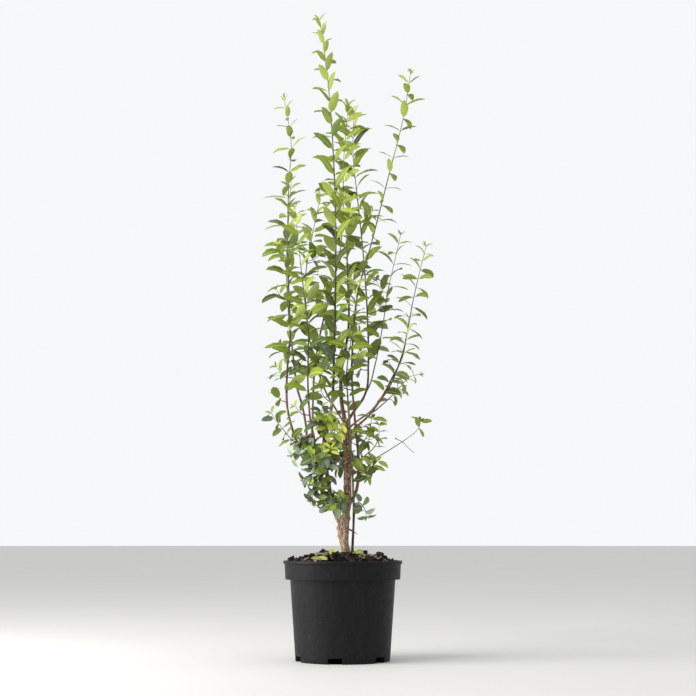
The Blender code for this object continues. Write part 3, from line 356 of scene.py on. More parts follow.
# Leafy shoots that grow on from the tips of boughs
TIP_SHOOTS = (
    Shoot("leader_shoot", "left_stem",
          ((-0.021, -0.050, 0.720), (-0.018, -0.062, 0.843), (-0.017, -0.060, 0.996), (-0.022, -0.046, 1.178),
           (-0.030, -0.032, 1.313), (-0.043, -0.020, 1.450), (-0.058, -0.012, 1.554)),
          habit(0.060, spacing=0.0210, turn=45, rise=46, back=32, droop=38, facing=3.2, flat=0.35, width=0.37,
                twigs=2, taper=0.40, seed=11)),
    Shoot("right_tall_shoot", "right_tall_bough",
          ((0.023, -0.036, 0.738), (0.034, -0.050, 0.853), (0.069, -0.060, 0.984), (0.113, -0.060, 1.158),
           (0.148, -0.058, 1.301), (0.164, -0.058, 1.401)),
          habit(0.047, spacing=0.0270, turn=-14, rise=38, droop=48, facing=3.0, side_facing=0.25, width=0.4,
                taper=0.07, seed=12)),
    Shoot("centre_shoot", "centre_bough",
          ((0.006, 0.010, 0.734), (0.013, 0.012, 0.787), (0.011, 0.016, 0.926), (0.010, 0.018, 1.026),
           (0.020, 0.018, 1.103)),
          habit(0.063, spacing=0.0225, turn=20, rise=40, droop=45, facing=2.6, width=0.42, twigs=2,
                taper=0.14, seed=13)),
    Shoot("rear_left_shoot", "crossing_bough",
          ((-0.085, 0.092, 0.782), (-0.094, 0.112, 0.873), (-0.093, 0.120, 0.951), (-0.079, 0.120, 1.033),
           (-0.058, 0.114, 1.138)),
          habit(0.060, spacing=0.0225, turn=60, rise=42, droop=50, facing=1.8, width=0.42, twigs=2, seed=14)),
    Shoot("rear_shoot", "right_rear_bough",
          ((0.061, 0.104, 0.821), (0.053, 0.124, 0.965), (0.036, 0.124, 1.140), (0.025, 0.114, 1.247),
           (0.027, 0.106, 1.355)),
          habit(0.064, spacing=0.0215, turn=35, rise=42, droop=46, facing=3.0, width=0.42, twigs=2,
                taper=0.1, seed=15)),
    Shoot("right_outer_shoot", "right_outer_bough",
          ((0.135, -0.038, 0.697), (0.145, -0.040, 0.729), (0.155, -0.043, 0.778), (0.167, -0.044, 0.842),
           (0.185, -0.038, 0.919), (0.200, -0.031, 0.978)),
          habit(0.049, spacing=0.0200, turn=42, rise=24, lean=-8, droop=50, facing=1.8, side_facing=0.9,
                width=0.4, taper=0.1, seed=16)),
    Shoot("right_front_shoot", "right_front_bough",
          ((0.117, -0.094, 0.658), (0.136, -0.110, 0.692), (0.148, -0.118, 0.746), (0.153, -0.120, 0.792)),
          habit(0.045, spacing=0.0210, turn=35, rise=28, droop=58, facing=1.4, width=0.4,
                taper=0.12, seed=17)),
    Shoot("left_outer_shoot", "left_outer_bough",
          ((-0.131, -0.026, 0.704), (-0.126, -0.028, 0.764), (-0.129, -0.030, 0.848), (-0.133, -0.030, 0.971),
           (-0.132, -0.028, 1.120), (-0.127, -0.026, 1.245), (-0.143, -0.022, 1.346)),
          habit(0.056, spacing=0.0235, turn=3, rise=26, lean=20, droop=38, facing=2.8, side_facing=1.2,
                width=0.38, twigs=1, taper=0.3, seed=18)),
    Shoot("left_rear_shoot", "left_rear_bough",
          ((-0.126, 0.062, 0.758), (-0.135, 0.072, 0.842), (-0.140, 0.074, 0.963), (-0.135, 0.068, 1.081),
           (-0.129, 0.058, 1.165)),
          habit(0.060, spacing=0.0225, turn=25, rise=34, droop=50, facing=2.0, width=0.41, twigs=3, seed=19)),
    Shoot("left_front_shoot", "left_front_bough",
          ((-0.082, -0.072, 0.647), (-0.081, -0.104, 0.765), (-0.092, -0.112, 0.858), (-0.103, -0.108, 0.957),
           (-0.114, -0.100, 1.058)),
          habit(0.060, spacing=0.0225, turn=35, rise=34, droop=48, facing=2.4, width=0.41, twigs=2, seed=20)),
    Shoot("inner_shoot", "inner_bough",
          ((-0.055, 0.040, 0.780), (-0.034, 0.062, 0.872), (-0.010, 0.074, 0.972), (0.000, 0.076, 1.092),
           (0.001, 0.068, 1.209), (0.013, 0.058, 1.358)),
          habit(0.064, spacing=0.0215, turn=50, rise=42, droop=42, facing=3.0, width=0.42, twigs=2,
                taper=0.1, seed=21)),
    Shoot("front_shoot", "thin_stem",
          ((0.009, -0.064, 0.665), (0.018, -0.104, 0.733), (0.030, -0.122, 0.790), (0.030, -0.128, 0.890)),
          habit(0.054, spacing=0.0225, turn=15, rise=36, droop=50, facing=2.2, width=0.42, twigs=1, seed=22)),
)

# Leafy shoots that grow from the side of a limb
SIDE_SHOOTS = (
    Shoot("right_mid_shoot", "right_rear_bough",
          ((0.053, 0.031, 0.627), (0.064, 0.036, 0.649), (0.078, 0.050, 0.701), (0.098, 0.070, 0.803),
           (0.113, 0.078, 0.899), (0.126, 0.078, 0.956), (0.143, 0.074, 1.030)),
          habit(0.054, spacing=0.0250, bare=0.115, turn=20, rise=30, droop=46, facing=2.2, side_facing=0.8,
                width=0.38, twigs=1, taper=0.11, seed=31)),
    Shoot("right_low_shoot", "right_outer_bough",
          ((0.064, -0.022, 0.574), (0.082, -0.004, 0.589), (0.109, 0.014, 0.614), (0.138, 0.030, 0.645),
           (0.168, 0.042, 0.674), (0.186, 0.048, 0.678)),
          habit(0.034, spacing=0.017, bare=0.065, turn=60, rise=10, droop=62, facing=1.4, side_facing=0.7,
                width=0.38, taper=0.08, seed=32)),
    Shoot("bare_right_twig", "right_tall_bough",
          ((0.038, 0.012, 0.426), (0.059, 0.004, 0.452), (0.075, -0.002, 0.469), (0.103, -0.010, 0.486),
           (0.130, -0.015, 0.503), (0.157, -0.018, 0.521), (0.181, -0.020, 0.544), (0.185, -0.020, 0.557)),
          habit(0.034, spacing=0.016, bare=0.195, turn=60, rise=20, lean=-30, droop=24, facing=5.0,
                width=0.40, mix=BARE_MIX, taper=0.02, seed=33)),
    Shoot("right_fan", "right_tall_bough",
          ((0.037, 0.011, 0.460), (0.052, -0.002, 0.477), (0.072, -0.014, 0.494), (0.084, -0.022, 0.516),
           (0.086, -0.028, 0.548)),
          habit(0.030, spacing=0.018, bare=0.018, turn=40, rise=30, droop=34, facing=1.6, width=0.34,
                mix=LIT_MIX, taper=0.02, seed=34)),
    Shoot("right_drooping_twig", "thin_stem",
          ((0.026, -0.016, 0.363), (0.038, -0.021, 0.366), (0.050, -0.024, 0.354), (0.056, -0.026, 0.335)),
          habit(0.031, spacing=0.013, bare=0.008, turn=60, rise=0, droop=44, facing=2.8, width=0.66,
                mix=DARK_MIX, taper=0.02, seed=35)),
    Shoot("left_low_twig", "left_arm",
          ((-0.081, -0.002, 0.484), (-0.100, -0.028, 0.498), (-0.122, -0.042, 0.515),
           (-0.142, -0.048, 0.539), (-0.160, -0.048, 0.562), (-0.168, -0.046, 0.575)),
          habit(0.034, spacing=0.015, bare=0.045, turn=20, rise=16, droop=30, facing=5.0, width=0.5,
                mix=EVEN_MIX, taper=0.02, seed=36)),
    Shoot("left_side_cluster", "left_arm",
          ((-0.071, -0.003, 0.475), (-0.088, -0.022, 0.482), (-0.104, -0.034, 0.484),
           (-0.117, -0.040, 0.476)),
          habit(0.038, spacing=0.017, bare=0.012, turn=30, rise=2, droop=56, facing=3.0, width=0.42,
                twigs=4, twig_length=0.042, mix=PALE_MIX, seed=37)),
    Shoot("left_lower_cluster", "left_stem",
          ((-0.036, -0.012, 0.424), (-0.050, -0.028, 0.424), (-0.068, -0.036, 0.424),
           (-0.084, -0.036, 0.416)),
          habit(0.042, spacing=0.018, bare=0.006, turn=50, rise=14, droop=44, facing=2.4, width=0.50,
                twigs=4, twig_length=0.046, mix=SHADE_MIX, taper=0.04, seed=38)),
    Shoot("front_cluster", "left_stem",
          ((-0.041, -0.013, 0.464), (-0.049, -0.034, 0.472), (-0.060, -0.050, 0.478),
           (-0.072, -0.058, 0.490)),
          habit(0.042, spacing=0.018, bare=0.006, turn=10, rise=18, droop=40, facing=2.6, width=0.50,
                twigs=4, twig_length=0.050, mix=LOW_MIX, taper=0.04, seed=39)),
    Shoot("yellow_cluster", "left_stem",
          ((-0.043, -0.015, 0.509), (-0.034, -0.036, 0.520), (-0.020, -0.050, 0.530),
           (-0.008, -0.058, 0.546)),
          habit(0.037, spacing=0.014, bare=0.006, turn=30, rise=22, droop=42, facing=2.8, width=0.4,
                twigs=5, twig_length=0.048, mix=YELLOW_MIX, taper=0.04, seed=40)),
    Shoot("trunk_cluster", "left_stem",
          ((-0.020, -0.005, 0.349), (-0.022, -0.024, 0.360), (-0.014, -0.038, 0.366),
           (-0.002, -0.044, 0.368)),
          habit(0.037, spacing=0.013, bare=0.004, turn=15, rise=4, droop=48, facing=2.4, width=0.50,
                twigs=4, twig_length=0.036, mix=SHADE_MIX, taper=0.04, seed=41)),
    Shoot("left_fork_cluster", "left_stem",
          ((-0.043, -0.015, 0.530), (-0.048, -0.036, 0.548), (-0.050, -0.054, 0.566),
           (-0.048, -0.068, 0.590)),
          habit(0.038, spacing=0.016, bare=0.012, turn=20, rise=25, droop=45, facing=2.0, width=0.44,
                twigs=3, twig_length=0.044, mix=INNER_MIX, seed=44)),
    Shoot("left_bottom_cluster", "left_stem",
          ((-0.029, -0.009, 0.386), (-0.043, -0.024, 0.388), (-0.057, -0.032, 0.383),
           (-0.068, -0.034, 0.372)),
          habit(0.040, spacing=0.016, bare=0.006, turn=40, rise=5, droop=44, facing=2.2, width=0.48,
                twigs=4, twig_length=0.040, mix=SHADE_MIX, taper=0.04, seed=55)),
    Shoot("right_side_cluster", "right_tall_bough",
          ((0.036, 0.009, 0.497), (0.050, -0.012, 0.512), (0.062, -0.026, 0.532), (0.068, -0.034, 0.562)),
          habit(0.046, spacing=0.02, bare=0.02, turn=75, rise=4, droop=60, facing=1.4, width=0.3,
                twigs=1, twig_length=0.040, mix=LIT_MIX, seed=46)),
    Shoot("right_low_cluster", "thin_stem",
          ((0.024, -0.018, 0.430), (0.034, -0.034, 0.440), (0.045, -0.042, 0.442), (0.054, -0.044, 0.432)),
          habit(0.038, spacing=0.018, bare=0.020, turn=85, rise=-8, droop=60, facing=2.4, width=0.44,
                twigs=1, twig_length=0.034, mix=INNER_MIX, seed=47)),
    Shoot("rear_low_cluster", "trunk",
          ((0.009, 0.003, 0.437), (0.000, 0.026, 0.455), (-0.015, 0.046, 0.472), (-0.023, 0.060, 0.493)),
          habit(0.036, spacing=0.014, bare=0.012, turn=25, rise=18, droop=45, facing=-0.8, width=0.48,
                twigs=3, twig_length=0.048, mix=SHADE_MIX, seed=42)),
    Shoot("rear_right_cluster", "trunk",
          ((0.008, 0.001, 0.506), (0.024, 0.026, 0.520), (0.039, 0.048, 0.532), (0.047, 0.062, 0.551)),
          habit(0.036, spacing=0.014, bare=0.012, turn=45, rise=20, droop=45, facing=-0.8, width=0.46,
                twigs=1, twig_length=0.044, mix=SHADE_MIX, seed=43)),
)

# How the finer twigs on the sides of limbs bear their leaves: in the crown, low down, and on the right
CROWN_TWIG = habit(0.048, spacing=0.019, rise=34, droop=48, facing=1.8, width=0.41)
LOW_TWIG = habit(0.040, spacing=0.016, rise=14, droop=44, facing=2.0, width=0.46, mix=LOW_MIX, taper=0.03)
SHADED_TWIG = LOW_TWIG._replace(mix=SHADE_MIX)
PALE_TWIG = LOW_TWIG._replace(mix=PALE_MIX)
DROOPING_TWIG = habit(0.040, spacing=0.012, rise=-22, droop=34, facing=0.9, width=0.24, mix=FAN_MIX,
                      taper=0.02)

# Narrow yellow leaves packed on a very short twig, like a star
STAR_TWIG = habit(0.027, spacing=0.005, bare=0.05, rise=6, droop=26, facing=6.0, width=0.30, mix=STAR_MIX,
                  taper=0.01)

# Finer leafy twigs on the sides of limbs: limb, places as shares of its length, the way they grow and how
# far they stray from it, in degrees round the limb from the right by way of the rear, reach, habit and seed
FINER_TWIGS = (
    ("left_stem", (0.97,), 180, 180, 0.060, CROWN_TWIG, 61),
    ("right_tall_bough", (0.95,), 180, 180, 0.060, CROWN_TWIG, 62),
    ("centre_bough", (0.92,), 180, 180, 0.060, CROWN_TWIG, 63),
    ("crossing_bough", (0.93,), 180, 180, 0.055, CROWN_TWIG, 64),
    ("right_rear_bough", (0.93,), 165, 30, 0.050, CROWN_TWIG, 65),
    ("right_outer_bough", (0.84,), 180, 180, 0.040, CROWN_TWIG, 66),
    ("left_outer_bough", (0.85,), 180, 180, 0.050, CROWN_TWIG, 67),
    ("left_rear_bough", (0.88,), 180, 180, 0.055, CROWN_TWIG, 68),
    ("left_front_bough", (0.80,), 180, 180, 0.050, CROWN_TWIG, 69),
    ("inner_bough", (0.86,), 180, 180, 0.060, CROWN_TWIG, 70),
    ("thin_stem", (0.90,), 180, 180, 0.050, CROWN_TWIG, 71),
    ("left_stem", (0.20, 0.30, 0.40, 0.50, 0.60), 200, 100, 0.048, SHADED_TWIG, 72),
    ("left_stem", (0.475,), 281, 6, 0.082, STAR_TWIG, 77),
    ("left_arm", (0.30, 0.62), 180, 180, 0.040, PALE_TWIG, 73),
    ("trunk", (0.74,), 90, 50, 0.042, SHADED_TWIG, 74),
    ("right_tall_bough", (0.34,), 320, 40, 0.036, LOW_TWIG, 75),
    ("bare_right_twig", (0.10, 0.16, 0.24), 180, 180, 0.026, DROOPING_TWIG, 76),
)


def tone(code):
    """A colour written as sRGB hex, as linear red, green, blue and alpha."""
    values = [int(code[k:k + 2], 16) / 255 for k in (1, 3, 5)]
    return (*(v / 12.92 if v <= 0.04045 else ((v + 0.055) / 1.055) ** 2.4 for v in values), 1.0)


def add_node(tree, kind, inputs=None, stops=(), **settings):
    """Add a shader node with its settings, inputs and a ramp's stops.

    An input is a value or the output of another node.
    """
    node = tree.nodes.new(kind)
    for name, value in settings.items():
        setattr(node, name, value)
    for key, value in (inputs or {}).items():
        if isinstance(value, bpy.types.NodeSocket):
            tree.links.new(value, node.inputs[key])
        else:
            node.inputs[key].default_value = value
    for number, (position, code) in enumerate(stops):
        elements = node.color_ramp.elements
        element = elements[number] if number < len(elements) else elements.new(position)
        element.position = position
        element.color = tone(code)
    return node


def new_material(name, roughness, specular=0.5):
    """A material with a Principled shader of constant gloss, and its tree and shader."""
    material = bpy.data.materials.new(name)
    material.use_nodes = True
    tree = material.node_tree
    shader = tree.nodes["Principled BSDF"]
    shader.inputs["Roughness"].default_value = roughness
    shader.inputs["Specular IOR Level"].default_value = specular
    return material, tree, shader


def bark(name, foot, head, change, stain, furrow_width, draw_out=9.0, roughness=0.82):
    """Bark without gloss, with furrows drawn out upwards and stained patches 10 mm wide.

    Foot and head give the browns from furrow to ridge below and above the change in height.
    """
    material, tree, shader = new_material(name, roughness, 0.25)
    place = add_node(tree, "ShaderNodeTexCoord").outputs["Object"]
    drawn_out = add_node(tree, "ShaderNodeMapping", {"Vector": place, "Scale": (1.0, 1.0, 1 / draw_out)})
    furrows = add_node(tree, "ShaderNodeTexNoise", {
        "Vector": drawn_out.outputs["Vector"], "Scale": 1 / furrow_width, "Detail": 6.0, "Roughness": 0.65})
    below, above = (add_node(tree, "ShaderNodeValToRGB", {"Fac": furrows.outputs["Fac"]}, stops=browns)
                    for browns in (foot, head))
    height = add_node(tree, "ShaderNodeSeparateXYZ", {"Vector": place})
    share = add_node(tree, "ShaderNodeMapRange", {
        "Value": height.outputs["Z"], "From Min": change[0], "From Max": change[1]})
    skin = add_node(tree, "ShaderNodeMix", {
        0: share.outputs["Result"], 6: below.outputs["Color"], 7: above.outputs["Color"]}, data_type="RGBA")
    patches = add_node(tree, "ShaderNodeTexNoise", {
        "Vector": place, "Scale": 1 / PATCH_WIDTH, "Detail": 4.0})
    stained = add_node(tree, "ShaderNodeMapRange", {
        "Value": patches.outputs["Fac"], "From Min": 0.50, "From Max": 0.66, "To Max": 0.65})
    colour = add_node(tree, "ShaderNodeMix", {
        0: stained.outputs["Result"], 6: skin.outputs[2], 7: tone(stain)}, data_type="RGBA")
    relief = add_node(tree, "ShaderNodeBump", {
        "Height": furrows.outputs["Fac"], "Distance": 0.0006, "Strength": 0.7})
    tree.links.new(colour.outputs[2], shader.inputs["Base Color"])
    tree.links.new(relief.outputs["Normal"], shader.inputs["Normal"])
    return material


def old_privet_bark():
    """Bark of the oldest wood, pale and pinkish at the foot and mottled red-brown higher up."""
    # Painted light pales the foot and painted shade of the foliage darkens the red-brown mottle higher up
    lit_pale_foot = ((0.38, "#5c4030"), (0.58, "#c1a58b"))
    mottled = ((0.40, "#43261b"), (0.50, "#93654e"), (0.58, "#dac1aa"))
    return bark("old_privet_bark", lit_pale_foot, mottled, OLD_BARK_CHANGE, "#7e5f4b", TRUNK_FURROW_WIDTH,
                draw_out=3.5, roughness=0.85)


def brown_privet_bark():
    """Bark of the boughs: painted light tans their feet, painted shade browns them dark among the leaves."""
    tan = ((0.38, "#452e22"), (0.60, "#a88368"))
    dark_brown = ((0.38, "#35271f"), (0.60, "#7c6353"))
    return bark("brown_privet_bark", tan, dark_brown, BOUGH_BARK_CHANGE, "#6f6055", BOUGH_FURROW_WIDTH)


def thin_stem_bark():
    """Bark of the thin stem, nearly black where it leaves the compost and pale olive higher up."""
    near_black = ((0.36, "#1d1511"), (0.60, "#453329"))
    olive = ((0.36, "#4f4836"), (0.60, "#97906e"))
    return bark("thin_stem_bark", near_black, olive, OLD_BARK_CHANGE, "#5c5342", BOUGH_FURROW_WIDTH)


def cut_wood():
    """Bare wood on a cut end, pale buff with darker rings."""
    buff = ((0.36, "#86704e"), (0.60, "#b8a27c"))
    return bark("cut_wood", buff, buff, OLD_BARK_CHANGE, "#a89878", CUT_WOOD_RING_WIDTH, roughness=0.7)


def young_bark(name, sunny, shaded, roughness=0.5):
    """Smooth bark of this year's wood, a thin skin that gives faint streaks and a slight gloss."""
    material, tree, shader = new_material(name, roughness, 0.4)
    place = add_node(tree, "ShaderNodeTexCoord").outputs["Object"]
    drawn_out = add_node(tree, "ShaderNodeMapping", {"Vector": place, "Scale": (1.0, 1.0, 1 / 8)})
    streaks = add_node(tree, "ShaderNodeTexNoise", {
        "Vector": drawn_out.outputs["Vector"], "Scale": 1 / STREAK_WIDTH, "Detail": 3.0})
    colour = add_node(tree, "ShaderNodeValToRGB", {"Fac": streaks.outputs["Fac"]},
                      stops=((0.38, shaded), (0.62, sunny)))
    relief = add_node(tree, "ShaderNodeBump", {
        "Height": streaks.outputs["Fac"], "Distance": 0.0003, "Strength": 0.4})
    tree.links.new(colour.outputs["Color"], shader.inputs["Base Color"])
    tree.links.new(relief.outputs["Normal"], shader.inputs["Normal"])
    return material


def moulded_polypropylene():
    """Black plastic, matt from the mould, with upright flow streaks, dull scuffs and specks of dust."""
    material, tree, shader = new_material("moulded_polypropylene", 0.55, 0.21)
    place = add_node(tree, "ShaderNodeTexCoord").outputs["Object"]
    drawn_out = add_node(tree, "ShaderNodeMapping", {"Vector": place, "Scale": (1.0, 1.0, 1 / 14)})
    streaks = add_node(tree, "ShaderNodeTexNoise", {
        "Vector": drawn_out.outputs["Vector"], "Scale": 1 / FLOW_STREAK_WIDTH, "Detail": 4.0})
    plastic = add_node(tree, "ShaderNodeValToRGB", {"Fac": streaks.outputs["Fac"]},
                       stops=((0.30, "#080909"), (0.72, "#101111")))
    specks = add_node(tree, "ShaderNodeTexNoise", {
        "Vector": place, "Scale": 1 / SPECK_SPACING, "Detail": 2.0, "Roughness": 0.6})
    dust = add_node(tree, "ShaderNodeMapRange", {
        "Value": specks.outputs["Fac"], "From Min": 0.665, "From Max": 0.76, "To Max": 0.34})
    colour = add_node(tree, "ShaderNodeMix", {
        0: dust.outputs["Result"], 6: plastic.outputs["Color"], 7: tone("#6b6d6b")}, data_type="RGBA")
    scuffs = add_node(tree, "ShaderNodeTexNoise", {
        "Vector": place, "Scale": 1 / SCUFF_WIDTH, "Detail": 5.0, "Roughness": 0.7})
    gloss = add_node(tree, "ShaderNodeMapRange", {
        "Value": scuffs.outputs["Fac"], "From Min": 0.35, "From Max": 0.70, "To Min": 0.46, "To Max": 0.64})
    mould_grain = add_node(tree, "ShaderNodeTexNoise", {
        "Vector": place, "Scale": 1 / MOULD_GRAIN_WIDTH, "Detail": 2.0})
    relief = add_node(tree, "ShaderNodeBump", {
        "Height": mould_grain.outputs["Fac"], "Distance": 0.0002, "Strength": 0.25})
    tree.links.new(colour.outputs[2], shader.inputs["Base Color"])
    tree.links.new(gloss.outputs["Result"], shader.inputs["Roughness"])
    tree.links.new(relief.outputs["Normal"], shader.inputs["Normal"])
    return material


def composted(name, light, dark, mottle_width=0.003, specular=0.2):
    """Composted bark: each chip or crumb is mottled between two browns, dull and rough all over."""
    material, tree, shader = new_material(name, 0.95, specular)
    place = add_node(tree, "ShaderNodeTexCoord").outputs["Object"]
    mottle = add_node(tree, "ShaderNodeTexNoise", {
        "Vector": place, "Scale": 1 / mottle_width, "Detail": 5.0, "Roughness": 0.7})
    colour = add_node(tree, "ShaderNodeValToRGB", {"Fac": mottle.outputs["Fac"]},
                      stops=((0.38, dark), (0.64, light)))
    relief = add_node(tree, "ShaderNodeBump", {
        "Height": mottle.outputs["Fac"], "Distance": 0.001, "Strength": 0.8})
    tree.links.new(colour.outputs["Color"], shader.inputs["Base Color"])
    tree.links.new(relief.outputs["Normal"], shader.inputs["Normal"])
    return material


def rolled_floor_paint():
    """Matt floor paint put on with a roller: nearly white, with a very faint mottle about 0.6 m wide."""
    material, tree, shader = new_material("rolled_floor_paint", 0.7, 0.2)
    place = add_node(tree, "ShaderNodeTexCoord").outputs["Object"]
    mottle = add_node(tree, "ShaderNodeTexNoise", {
        "Vector": place, "Scale": 1 / FLOOR_MOTTLE, "Detail": 3.0})
    colour = add_node(tree, "ShaderNodeValToRGB", {"Fac": mottle.outputs["Fac"]},
                      stops=((0.3, "#d6d4d1"), (0.7, "#d9d7d4")))
    tree.links.new(colour.outputs["Color"], shader.inputs["Base Color"])
    return material


def unit(vectors):
    return vectors / np.linalg.norm(vectors, axis=-1, keepdims=True)


def distance_along(route):
    return np.concatenate(([0.0], np.cumsum(np.linalg.norm(np.diff(route, axis=0), axis=1))))


def points_at(route, distances):
    along = distance_along(route)
    return np.stack([np.interp(distances, along, route[:, axis]) for axis in range(3)], axis=-1)


def fine_points(route, step=ROUTE_STEP):
    """Points about a step apart along a route."""
    length = distance_along(route)[-1]
    return points_at(route, np.linspace(0.0, length, max(2, round(length / step)) + 1))


def smooth_route(places):
    """A curve through the places: on each span it is the cubic with the mean slope at both of its ends."""
    knots = np.array(places, dtype=float)
    at = distance_along(knots)
    slopes = np.gradient(knots, at, axis=0)
    fine = np.linspace(0.0, at[-1], CURVE_POINTS)
    k = np.clip(np.searchsorted(at, fine, side="right") - 1, 0, len(at) - 2)
    span = (at[k + 1] - at[k])[:, None]
    u = (fine - at[k])[:, None] / span
    curve = ((2 * u**3 - 3 * u**2 + 1) * knots[k] + (u**3 - 2 * u**2 + u) * span * slopes[k]
             + (3 * u**2 - 2 * u**3) * knots[k + 1] + (u**3 - u**2) * span * slopes[k + 1])
    return fine_points(curve)


def place_on(route, place):
    """The distance along a route at which it passes a place."""
    return distance_along(route)[int(np.argmin(np.linalg.norm(route - np.array(place), axis=1)))]


def on_axis(route, place):
    """The point on a route that is nearest to a place."""
    return route[int(np.argmin(np.linalg.norm(route - np.array(place), axis=1)))]


class Stem:
    """A limb, shoot or twig, that knows its place, direction and radius at any distance along it."""

    def __init__(self, route, radii):
        self.route = route
        self.radii = radii
        self.along = distance_along(route)
        self.length = self.along[-1]
        self.tangents = unit(np.gradient(route, self.along, axis=0))

    def at(self, distance):
        place, tangent = (np.array([np.interp(distance, self.along, values[:, axis]) for axis in range(3)])
                          for values in (self.route, self.tangents))
        return place, tangent, float(np.interp(distance, self.along, self.radii))

    def part(self, start, end, step):
        """The stretch between two distances, with rings about a step apart."""
        at = np.linspace(start, end, max(2, math.ceil((end - start) / step)) + 1)
        return points_at(self.route, at), np.interp(at, self.along, self.radii)


def grown_stems():
    """Every limb and the shoot on its tip as one stem, every side shoot, and where the tip shoots start."""
    tips = {shoot.carrier: shoot for shoot in TIP_SHOOTS}
    stems, splits = {}, {}
    for limb in LIMBS:
        shoot = tips.get(limb.name)
        places, radii = limb.places, limb.radii
        if limb.carrier:
            places = (on_axis(stems[limb.carrier].route, places[0]), *places[1:])
        if shoot:
            places += shoot.places
            radii += tuple(np.linspace(limb.radii[-1], FINEST_TWIG, len(shoot.places) + 1)[1:])
        route = smooth_route(places)
        nearest = [place_on(route, place) for place in places]
        stems[limb.name] = Stem(route, np.interp(distance_along(route), nearest, radii))
        splits[limb.name] = place_on(route, limb.places[-1]) if shoot else stems[limb.name].length
    for shoot in SIDE_SHOOTS:
        route = smooth_route((on_axis(stems[shoot.carrier].route, shoot.places[0]), *shoot.places[1:]))
        stems[shoot.name] = Stem(route, np.linspace(SIDE_SHOOT_RADIUS, FINEST_TWIG, len(route)))
    return stems, splits


def side_frame(tangent):
    """Two directions across a stem, the first of them nearest to +X."""
    first = unit(np.array((1.0, 0.0, 0.0)) - tangent * tangent[0])
    return first, np.cross(tangent, first)


def side_twig(stem, distance, azimuth, reach):
    """A twig that leaves its stem outwards, bends up at half its reach, and thins to its tip."""
    place, tangent, radius = stem.at(distance)
    first, second = side_frame(tangent)
    out = first * math.cos(azimuth) + second * math.sin(azimuth)
    bend = place + (out * TWIG_OUT_FIRST + tangent * TWIG_ALONG) * reach / 2
    tip = bend + (out * TWIG_OUT_LATER + tangent * TWIG_ALONG + np.array((0.0, 0.0, TWIG_UP))) * reach / 2
    route = smooth_route((place, bend, tip))
    foot = min(radius * TWIG_RADIUS_SHARE, THICKEST_TWIG)
    return Stem(route, np.linspace(foot, FINEST_TWIG, len(route)))


def side_twigs(stem, shape, random):
    """The side twigs of a leafy shoot, spread over its lower part at seeded places and turns."""
    twigs = []
    for k in range(shape.twigs):
        stray = random.uniform(-TWIG_PLACE_SPREAD, TWIG_PLACE_SPREAD)
        share = SIDE_TWIG_ZONE * (k + 0.5 + stray) / shape.twigs
        reach = shape.twig_length * random.uniform(*TWIG_REACH_SHARES) * (1.0 - TWIG_SHORTENING * share)
        azimuth = random.uniform(0.0, 2 * math.pi)
        twigs.append(side_twig(stem, shape.bare + (stem.length - shape.bare) * share, azimuth, reach))
    return twigs


def pair_distances(stem, shape, bare):
    """How far the leaf pairs stand from a stem's tip: close together there and wider apart below."""
    back = [FIRST_PAIR * shape.spacing]
    while True:
        step = shape.spacing * (1.0 + SPACING_GROWTH * min(1.0, back[-1] / SPACING_ZONE))
        if stem.length - back[-1] - step < bare:
            return np.array(back)
        back.append(back[-1] + step)


def leaf_row(stem, distance, azimuth, rise, length, shape, tint, random):
    """One leaf as numbers: root, way out, way up, length, half width, angles, turn to the light and tint.

    A blade is turned about its midrib towards the light, by its upper side, or by its lower side where
    that is nearer.
    """
    place, tangent, radius = stem.at(distance)
    first, second = side_frame(tangent)
    out = unit(first * math.cos(azimuth) + second * math.sin(azimuth) * (1.0 - shape.flat))
    rise += shape.lean * out[0] - shape.back * out[1]
    droop = shape.droop * random.uniform(*DROOP_SHARES)
    middle = rise - droop / 2
    upper_side = tangent * math.cos(middle) - out * math.sin(middle)
    sideways = abs(out[0])
    facing = shape.facing * (1.0 - sideways) + shape.side_facing * sideways
    facing *= min(1.0, max(0.0, TURNING_LIMIT - out[1])) * random.uniform(*FACING_SHARES)
    if upper_side @ LIGHT < TURNED_FROM_LIGHT:
        facing = -facing
    return (*(place + out * radius * ROOT_DEPTH_SHARE), *out, *tangent, length,
            length * shape.width / 2 * random.uniform(*WIDTH_SHARES),
            rise, droop, facing, random.normal(0.0, ROLL_SPREAD),
            random.uniform(*FOLDS), random.uniform(-1.0, 1.0), tint)


# The pairs that close a growing shoot, and those of one that has ended its growth: length as a share of the
# shoot's leaves, rise in degrees, and width
TIP_LEAVES = ((0.42, 52, 0.42), (0.34, 72, 0.28))
GROWN_TIP_LEAVES = ((0.85, 24, 0.42), (0.48, 58, 0.38))


